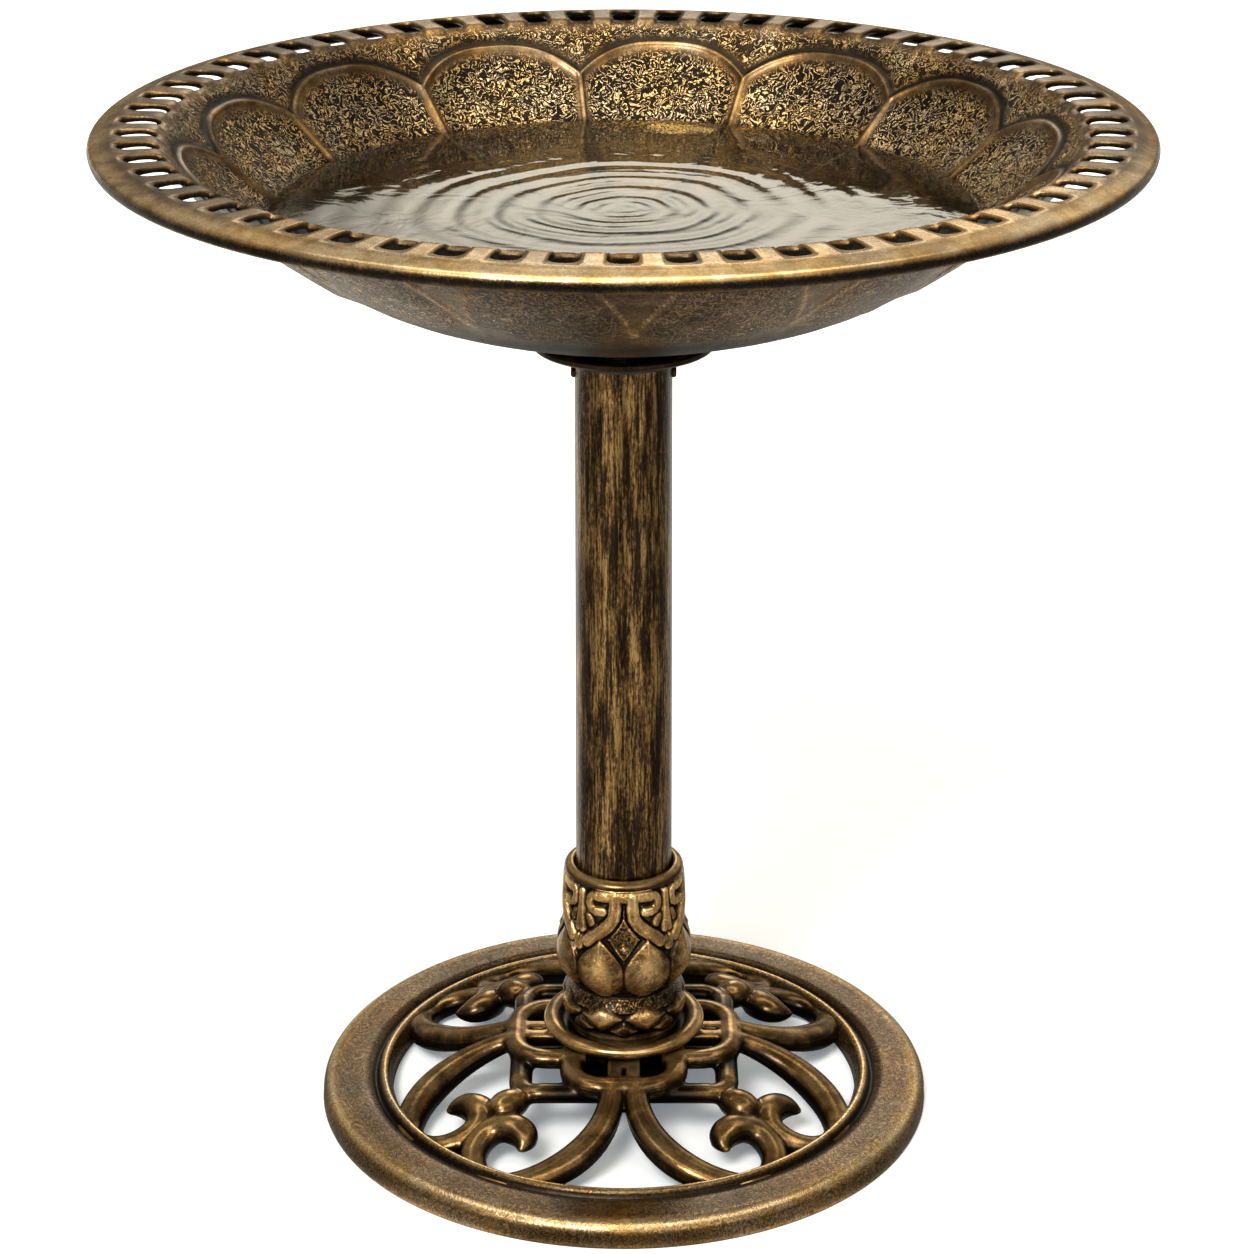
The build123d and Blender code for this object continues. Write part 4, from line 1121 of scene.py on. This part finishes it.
# ------------------------------------------------------------------ base
@dataclass
class BaseCasting:
    """The round base with its scrolls and knot. Sizes are millimetres."""

    outer_r: float
    hub_z: float
    ring_w: float = 38.0
    ring_h: float = 13.5
    bead_r: float = 3.0
    bar_t: float = 9.0
    bar_w: float = 13.0      # width that the bars' section is drawn at
    flat_r: float = 62.0     # the scrollwork is level up to here
    fall: float = 0.37       # and falls this much per mm beyond
    knot_drop: float = 1.3
    knuckle_reach: float = 86.0
    hub_r: float = 28.0
    hub_t: float = 18.0
    voxel: float = 1.15
    widths: tuple[Point2, ...] = (  # an arm's width along its length
        (0.0, 12.0), (0.12, 14.5), (0.32, 18.0), (0.5, 16.0), (0.68, 14.4), (0.80, 15.8),
        (0.89, 18.5), (0.955, 14.5), (1.0, 3.0))

    def top_z(self, reach: Union[float, Array]) -> Union[float, Array]:
        """Height of the scrollwork's top at this distance from the axis."""
        return self.hub_z - self.knot_drop - self.fall * np.maximum(reach - self.flat_r, 0)

    def ring(self) -> Mesh:
        """Hollow outer ring with its rolled edge, groove and inner bead."""
        r, h = self.outer_r, self.ring_h
        inner = r - self.ring_w
        bead = arc((inner + 4.6, h - 1.4), self.bead_r, 172, 20, 9)
        shoulder = arc((r - 8.1, h - 7.8), 7.8, 90, 8, 9)
        profile = [(inner + 1.2, 0.0), (inner, 1.2), (inner, h - 4.6), (inner + 0.8, h - 3.2)]
        groove = [(inner + 7.9, h - 2.4), (inner + 9.0, h - 2.9), (inner + 10.2, h - 2.4)]
        flat = [(inner + 11.3, h - 0.4), (inner + 16, h), (inner + 22, h), (inner + 27, h - 0.05)]
        profile += bead + groove + flat
        profile += shoulder + [(r - 0.3, 5.4), (r - 0.2, 3.4), (r, 1.4), (r - 0.5, 0.2), (r - 1.2, 0.0)]
        profile += [(r - 3.0, 0.4), (r - 3.4, 6.0), (r - 9, h - 5.4)]
        profile += [(inner + 6, h - 5.6), (inner + 3.2, 7.0), (inner + 3.0, 0.4)]
        obj = lathe("base_ring_cast", profile, 400, closed=True)
        points, radius = measured(obj)
        up = points[:, 2]
        # Painted highlights, on top of the rubbed wear, along the bead's crest and the rolled shoulder; a thin
        # light line at the foot of the outer edge; painted shade in the groove.
        wear_and_highlight = 0.9 * bell(radius - (inner + 4.6), 1.5) * ease(up, h - 1.5, h + 1)
        wear_and_highlight += 0.95 * bell(radius - (r - 4.8), 3.0) * ease(up, h - 7, h - 2)
        wear_and_highlight += 0.5 * bell(up - 1.6, 1.4) * ease(radius, r - 2, r - 0.5)
        write_mask(obj, "wear_and_highlight", wear_and_highlight)
        write_mask(obj, "shadowed", 0.9 * bell(radius - (inner + 9.0), 1.6) * ease(up, h - 4, h - 3))
        smooth(obj)
        return obj

    def _bar(self, name: str, path: Sequence[Point2], widths: Sequence[float], lift: float = 0.0,
             cyclic: bool = False) -> Mesh:
        """Sweep the bar's section along a path that follows the dome.

        Args:
            name: name of the bar.
            path: plan of its middle line.
            widths: width at each point.
            lift: how far it stands above the dome.
            cyclic: whether it closes on itself.

        Returns:
            The bar as a mesh.
        """
        clear_selection()
        bpy.ops.curve.primitive_nurbs_path_add()
        obj = bpy.context.object
        obj.name = name
        curve = obj.data
        curve.splines.clear()
        spline = curve.splines.new("POLY")
        spline.points.add(len(path) - 1)
        for point, (x, y), width in zip(spline.points, path, widths):
            z = self.top_z(math.hypot(x, y)) - self.bar_t / 2 + lift
            point.co = (x * MM, y * MM, z * MM, 1)
            point.radius = width / self.bar_w
        spline.use_cyclic_u = cyclic
        curve.dimensions = "3D"
        curve.twist_mode = "Z_UP"
        curve.bevel_mode = "OBJECT"
        curve.bevel_object = self._section()
        curve.use_fill_caps = True
        activate(obj)
        bpy.ops.object.convert(target="MESH")
        return bpy.context.object

    def _section(self) -> Mesh:
        """Section of a bar: flat below, with straight sides and a crowned top."""
        found = bpy.data.objects.get("bar_section")
        if found:
            return found
        clear_selection()
        bpy.ops.curve.primitive_bezier_circle_add()
        obj = bpy.context.object
        obj.name = "bar_section"
        obj.data.splines.clear()
        spline = obj.data.splines.new("POLY")
        crown = [(6.5 * x, -0.5 + 5.0 * y) for x, y in arc((0, 0), 1, 0, 180, 13)]
        outline = crown + [(-6.2, -3.6), (-5.2, -4.5), (5.2, -4.5), (6.2, -3.6)]
        spline.points.add(len(outline) - 1)
        for point, (x, y) in zip(spline.points, outline):
            point.co = (x * MM, y * MM, 0, 1)
        spline.use_cyclic_u = True
        obj.data.dimensions = "2D"
        obj.hide_render = True
        return obj

    def arm(self) -> Mesh:
        """One C-scroll from the knot out along the ring and back into its curl."""
        sweep_r, turn_r, curl_r = 54.0, 21.3, 12.2
        start, into_turn, into_curl, end = 6, -85, -220, -395
        turn = (-57.5, -93.0)
        sweep = arc(turn, turn_r - sweep_r, into_turn, into_turn, 1)[0]
        curl = arc(turn, turn_r - curl_r, into_curl, into_curl, 1)[0]
        path = arc(sweep, sweep_r, start, into_turn, 26)
        path += arc(turn, turn_r, into_turn, into_curl, 18)[1:]
        path += arc(curl, curl_r, into_curl, end, 18)[1:]
        steps = np.hypot(*np.diff(np.array(path), axis=0).T)
        share = np.concatenate([[0], np.cumsum(steps)]) / steps.sum()
        return self._bar("arm", path, list(flowing(share, self.widths)))

    def saucer(self) -> Mesh:
        """Dish under the urn: a broad half-round rim round a sunken floor."""
        z = self.hub_z
        rim = [(38.8 + 4.7 * x, z + 5.0 + 3.4 * y) for x, y in arc((0, 0), 1, -55, 160, 17)]
        profile = [(27.0, z), (35.0, z), (38.5, z + 0.7)] + rim
        profile += [(33.9, z + 4.6), (33.2, z + 3.8), (32.0, z + 3.5), (27.0, z + 3.5)]
        obj = lathe("saucer_dish", profile, 240, closed=True)
        points, radius = measured(obj)
        # The rim's top is lighter, with a painted highlight line along its outer crest; the sunken floor
        # inside it is painted with shade.
        rim_top = 0.55 * ease(radius, 34.5, 37.5) * ease(points[:, 2] - z, 3.5, 7.5)
        write_mask(obj, "wear_and_highlight", rim_top + 0.6 * bell(radius - 42.6, 1.2))
        write_mask(obj, "shadowed", 0.8 * ease(-radius, -34.8, -33.6))
        smooth(obj)
        return obj

    def knot(self) -> list[Mesh]:
        """The whole square band, and one of the four D loops."""
        side, corner, wide = 55.0, 11.0, 12.6
        inset = side - corner
        square: list[Point2] = []
        for turn in range(4):
            cx = inset * (1 if turn in (0, 3) else -1)
            cy = inset * (1 if turn in (0, 1) else -1)
            square += arc((cx, cy), corner, 90 * turn, 90 * turn + 90, 8)
        band = self._bar("band", square, [wide] * len(square), -1.2, cyclic=True)
        bend = 18.0
        loop = [(28.0, -20.0), (28.0, -30.0)] + arc((28.0 - bend, -40.0), bend, 0, -90, 10)
        loop += [(3.0, -58.0)]
        loop += [(-x, y) for x, y in reversed(loop)]
        return [band, self._bar("loop", loop, [wide] * len(loop), 1.0)]

    def web(self) -> Mesh:
        """Tongue between a D loop and the hub, with a slit down its middle."""
        obj = block((18, 34, 8), -39, self.top_z(0) - 4.4)
        with editing(obj):
            bpy.ops.mesh.bevel(offset=1.6 * MM, segments=3)
        slit = block((2.6, 10, 6), -47, self.top_z(0))
        modify(obj, "BOOLEAN", operation="DIFFERENCE", object=slit)
        bpy.data.objects.remove(slit)
        return obj

    def shade_plate(self) -> Mesh:
        """Dark sunken plate that closes a D loop from below: a sheet of painted shade where the floor would
        show through the loop.
        """
        return block((50, 34, 3.4), -40, self.top_z(0) - 10.0)

    def knuckle(self) -> Mesh:
        """Rounded block where two curls meet the corner of the knot."""
        out = self.knuckle_reach * math.sqrt(0.5)
        z = self.top_z(self.knuckle_reach) - 4.2
        clear_selection()
        bpy.ops.mesh.primitive_uv_sphere_add(
            segments=32, ring_count=20, radius=MM, location=(-out * MM, -out * MM, z * MM),
            rotation=(0, 0, math.radians(45)), scale=(12.5, 9.6, 7.6))
        obj = bpy.context.object
        settle(obj)
        return obj

    def hub(self) -> Mesh:
        """Boss under the column."""
        r, z, low, edge = self.hub_r, self.hub_z, self.hub_z - self.hub_t, 0.8
        profile = [(0, z), (r - edge, z), (r, z - edge), (r, low + edge), (r - edge, low), (0, low)]
        return lathe("hub", profile, 96)

    def scrollwork(self) -> Mesh:
        """Repeat the arms, loops and knuckles four times and fuse them into one casting."""
        arm = self.arm()
        activate(arm)
        bpy.ops.object.duplicate()
        twin = bpy.context.object
        write_points(twin, read_points(arm)[:, [1, 0, 2]])
        with editing(twin):
            bpy.ops.mesh.normals_make_consistent(inside=False)
        band, loop = self.knot()
        # Each quarter also takes the dark plate of painted shade under its D loop.
        quarter = join("quarter", [arm, twin, loop, self.web(), self.shade_plate(), self.knuckle()])
        quarters = [quarter]
        for turn in range(1, 4):
            activate(quarter)
            bpy.ops.object.duplicate()
            copy = bpy.context.object
            copy.rotation_euler = (0, 0, math.radians(90 * turn))
            settle(copy)
            quarters.append(copy)
        casting = join("base_scrollwork", [band, self.hub(), *quarters])
        bpy.data.objects.remove(bpy.data.objects["bar_section"])
        settle(casting)
        modify(casting, "REMESH", mode="VOXEL", voxel_size=self.voxel * MM)
        modify(casting, "SMOOTH", factor=0.5, iterations=5)
        points, reach = measured(casting)
        top = self.top_z(reach)
        normals = np.empty(len(points) * 3)
        casting.data.vertex_normals.foreach_get("vector", normals)
        up = normals.reshape(-1, 3)[:, 2]
        # Painted light: the up-facing tops of the bars are painted lighter, with rubbed wear, and their lower
        # sides and all that sinks below them are painted with shade.
        wear_and_highlight = ease(up, 0.35, 0.95) * ease(points[:, 2] - top, -4.5, -0.5)
        write_mask(casting, "wear_and_highlight", wear_and_highlight)
        write_mask(casting, "shadowed", 0.85 * ease(top - points[:, 2], 3.5, 7.5))
        smooth(casting)
        return casting


# ------------------------------------------------------------------ studio
@dataclass
class Studio:
    """Floor, soft light all round, one soft key light and the camera."""

    floor_half: float = 30.0
    floor_glow: float = 0.19
    light: tuple[float, ...] = (1.0, 0.925, 0.78, 1)
    key_turn: tuple[float, ...] = (42.0, -14.0, -8.0)
    key_energy: float = 2.4
    key_spread: float = 20.0
    eye: tuple[float, float, float] = (0.0017, -1.6536, 0.9572)
    tilt: float = 67.491     # camera's turn about X, in degrees
    lens: float = 99.23
    sensor: float = 36.0

    @staticmethod
    def bands(w: Wiring) -> Output:
        """Grey of the floor as polished things mirror it: dim, with a light band at each side."""
        x, y, _ = w.split(w.coords())
        reach = w.math("SQRT", w.math("ADD", w.product(x, x), w.product(y, y)))
        side = w.math("DIVIDE", x, reach)
        left = w.product(w.ranged(side, -0.86, -0.66), w.ranged(side, -0.28, -0.48))
        right = w.product(w.ranged(side, 0.22, 0.40), w.ranged(side, 0.82, 0.60))
        return w.weighed(left, 0.54, w.weighed(right, 0.42, 0.17))

    def floor(self) -> None:
        """Pale floor, well beyond the camera's view, which polished things mirror as the dim banded grey of
        bands(): a painted reflection.
        """
        clear_selection()
        bpy.ops.mesh.primitive_grid_add(x_subdivisions=8, y_subdivisions=8, size=2 * self.floor_half)
        obj = bpy.context.object
        obj.name = "studio_floor"
        material, w, shader = open_material("pale_floor")
        preset(shader, {
            "Base Color": (0.93, 0.93, 0.93, 1), "Emission Color": (0.74, 0.87, 1.0, 1),
            "Emission Strength": self.floor_glow, "Roughness": 0.9, "Specular IOR Level": 0.0})
        dim = w.add("ShaderNodeBsdfDiffuse")
        w.feed(dim.inputs["Color"], self.bands(w))
        # Painted reflection: glossy rays see the dim banded grey in place of the pale floor.
        w.unless("Is Glossy Ray", shader, dim)
        obj.data.materials.append(material)

    def sky(self) -> None:
        """Soft boxes painted round the studio: a wide one behind, one in front and one overhead."""
        world = bpy.data.worlds.new("studio")
        bpy.context.scene.world = world
        world.use_nodes = True
        w = Wiring(world.node_tree)
        x, y, z = w.split(w.add("ShaderNodeTexCoord").outputs["Generated"])
        behind = w.product(
            w.ranged(y, 0.35, 0.85), w.ranged(z, 0.17, 0.31), w.ranged(z, 0.72, 0.44),
            w.ranged(x, -0.13, -0.02, 0.08, 1.0), w.ranged(x, 0.20, 0.07, 0.22, 1.0))
        front = w.product(w.ranged(y, -0.25, -0.75), w.ranged(z, 0.18, 0.45))
        overhead = w.ranged(z, 0.80, 0.96)
        level = w.weighed(behind, 3.1, w.weighed(front, 1.9, w.weighed(overhead, 3.2, 0.13)))
        background = world.node_tree.nodes["Background"]
        preset(background, {"Color": self.light})
        w.feed(background.inputs["Strength"], level)

    def key(self) -> None:
        """Soft key light from the front, a little left and high."""
        clear_selection()
        bpy.ops.object.light_add(type="SUN", rotation=[math.radians(turn) for turn in self.key_turn])
        lamp = bpy.context.object
        lamp.name = "key_light"
        lamp.data.energy = self.key_energy
        lamp.data.angle = math.radians(self.key_spread)

    def camera(self) -> None:
        """Camera at the view's place."""
        clear_selection()
        bpy.ops.object.camera_add(location=self.eye, rotation=(math.radians(self.tilt), 0, 0))
        camera = bpy.context.object
        camera.data.lens = self.lens
        camera.data.sensor_width = self.sensor
        camera.data.clip_end = 200
        bpy.context.scene.camera = camera

    def build(self) -> None:
        """Set the whole studio up."""
        self.floor()
        self.sky()
        self.key()
        self.camera()
        view = bpy.context.scene.view_settings
        view.view_transform = "Standard"
        view.look = "None"


# ------------------------------------------------------------------ assembly
NODE_FINISHES = {
    "column_tube": "column_bronze",
    "button_left": "plain_bronze",
    "button_right": "plain_bronze",
    "lock_ring": "lock_bronze",
    "column_foot": "black_resin",
    "column_cap": "black_resin",
    "bowl_hub": "black_resin",
    "foot_screws": "zinc_steel",
    "foot_washers": "zinc_steel",
    "hub_screws": "zinc_steel",
    "snap_clip": "spring_steel",
    "retainer_ring": "spring_steel",
    "seat_pad": "black_rubber",
}


def place(obj: Mesh, body: str, slot: Optional[str], *nodes: str) -> None:
    """Fix a piece to its body and hide the CAD nodes that it stands for.

    Args:
        obj: the finished piece.
        body: CAD body that it rides on.
        slot: the record's material slot, if it has one; not used.
        nodes: CAD nodes that it replaces.
    """
    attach(obj, body)
    if nodes:
        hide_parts(*nodes)
    LOG.info("%s: %d faces on %s", obj.name, len(obj.data.polygons), body)


def main() -> None:
    """Build the bird bath's looks round its frame."""
    logging.basicConfig(level=logging.INFO, format="%(message)s")
    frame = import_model()
    bowl_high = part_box("bowl")[1]
    hub_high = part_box("bowl_hub")[1]
    base_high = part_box("base")[1]
    urn_low, urn_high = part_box("urn_sleeve")
    ring_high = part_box("urn_top_ring")[1]
    tube_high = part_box("column_tube")[1]
    paints = Paintbox()
    for name, finish in NODE_FINISHES.items():
        paints.paint(frame["nodes"][name], finish)

    bowl = Bowl(floor_z=hub_high.z / MM, crown_z=bowl_high.z / MM, outer_r=bowl_high.x / MM)
    shell = bowl.shell()
    paints.paint(shell, "bowl_bronze")
    place(shell, "bowl", "bowl_bronze", "bowl")
    pool = bowl.water()
    paints.paint(pool, "water")
    place(pool, "bowl", None)

    urn = Urn(foot_z=urn_low.z / MM, top_z=urn_high.z / MM, bore_r=tube_high.x / MM + 0.35)
    sleeve = urn.sleeve()
    paints.paint(sleeve, "trim_bronze")
    place(sleeve, "stand", "trim_bronze", "urn_sleeve")
    collar = urn.collar(ring_high.z / MM, ring_high.x / MM)
    paints.paint(collar, "plain_bronze")
    place(collar, "stand", "trim_bronze", "urn_top_ring")

    base = BaseCasting(outer_r=base_high.x / MM, hub_z=base_high.z / MM)
    ring = base.ring()
    paints.paint(ring, "ring_bronze")
    place(ring, "stand", "base_bronze", "base")
    dish = base.saucer()
    paints.paint(dish, "plain_bronze")
    place(dish, "stand", "trim_bronze", "saucer")
    scrolls = base.scrollwork()
    paints.paint(scrolls, "base_bronze")
    place(scrolls, "stand", "base_bronze", "base")

    Studio().build()


if __name__ == "__main__":
    main()
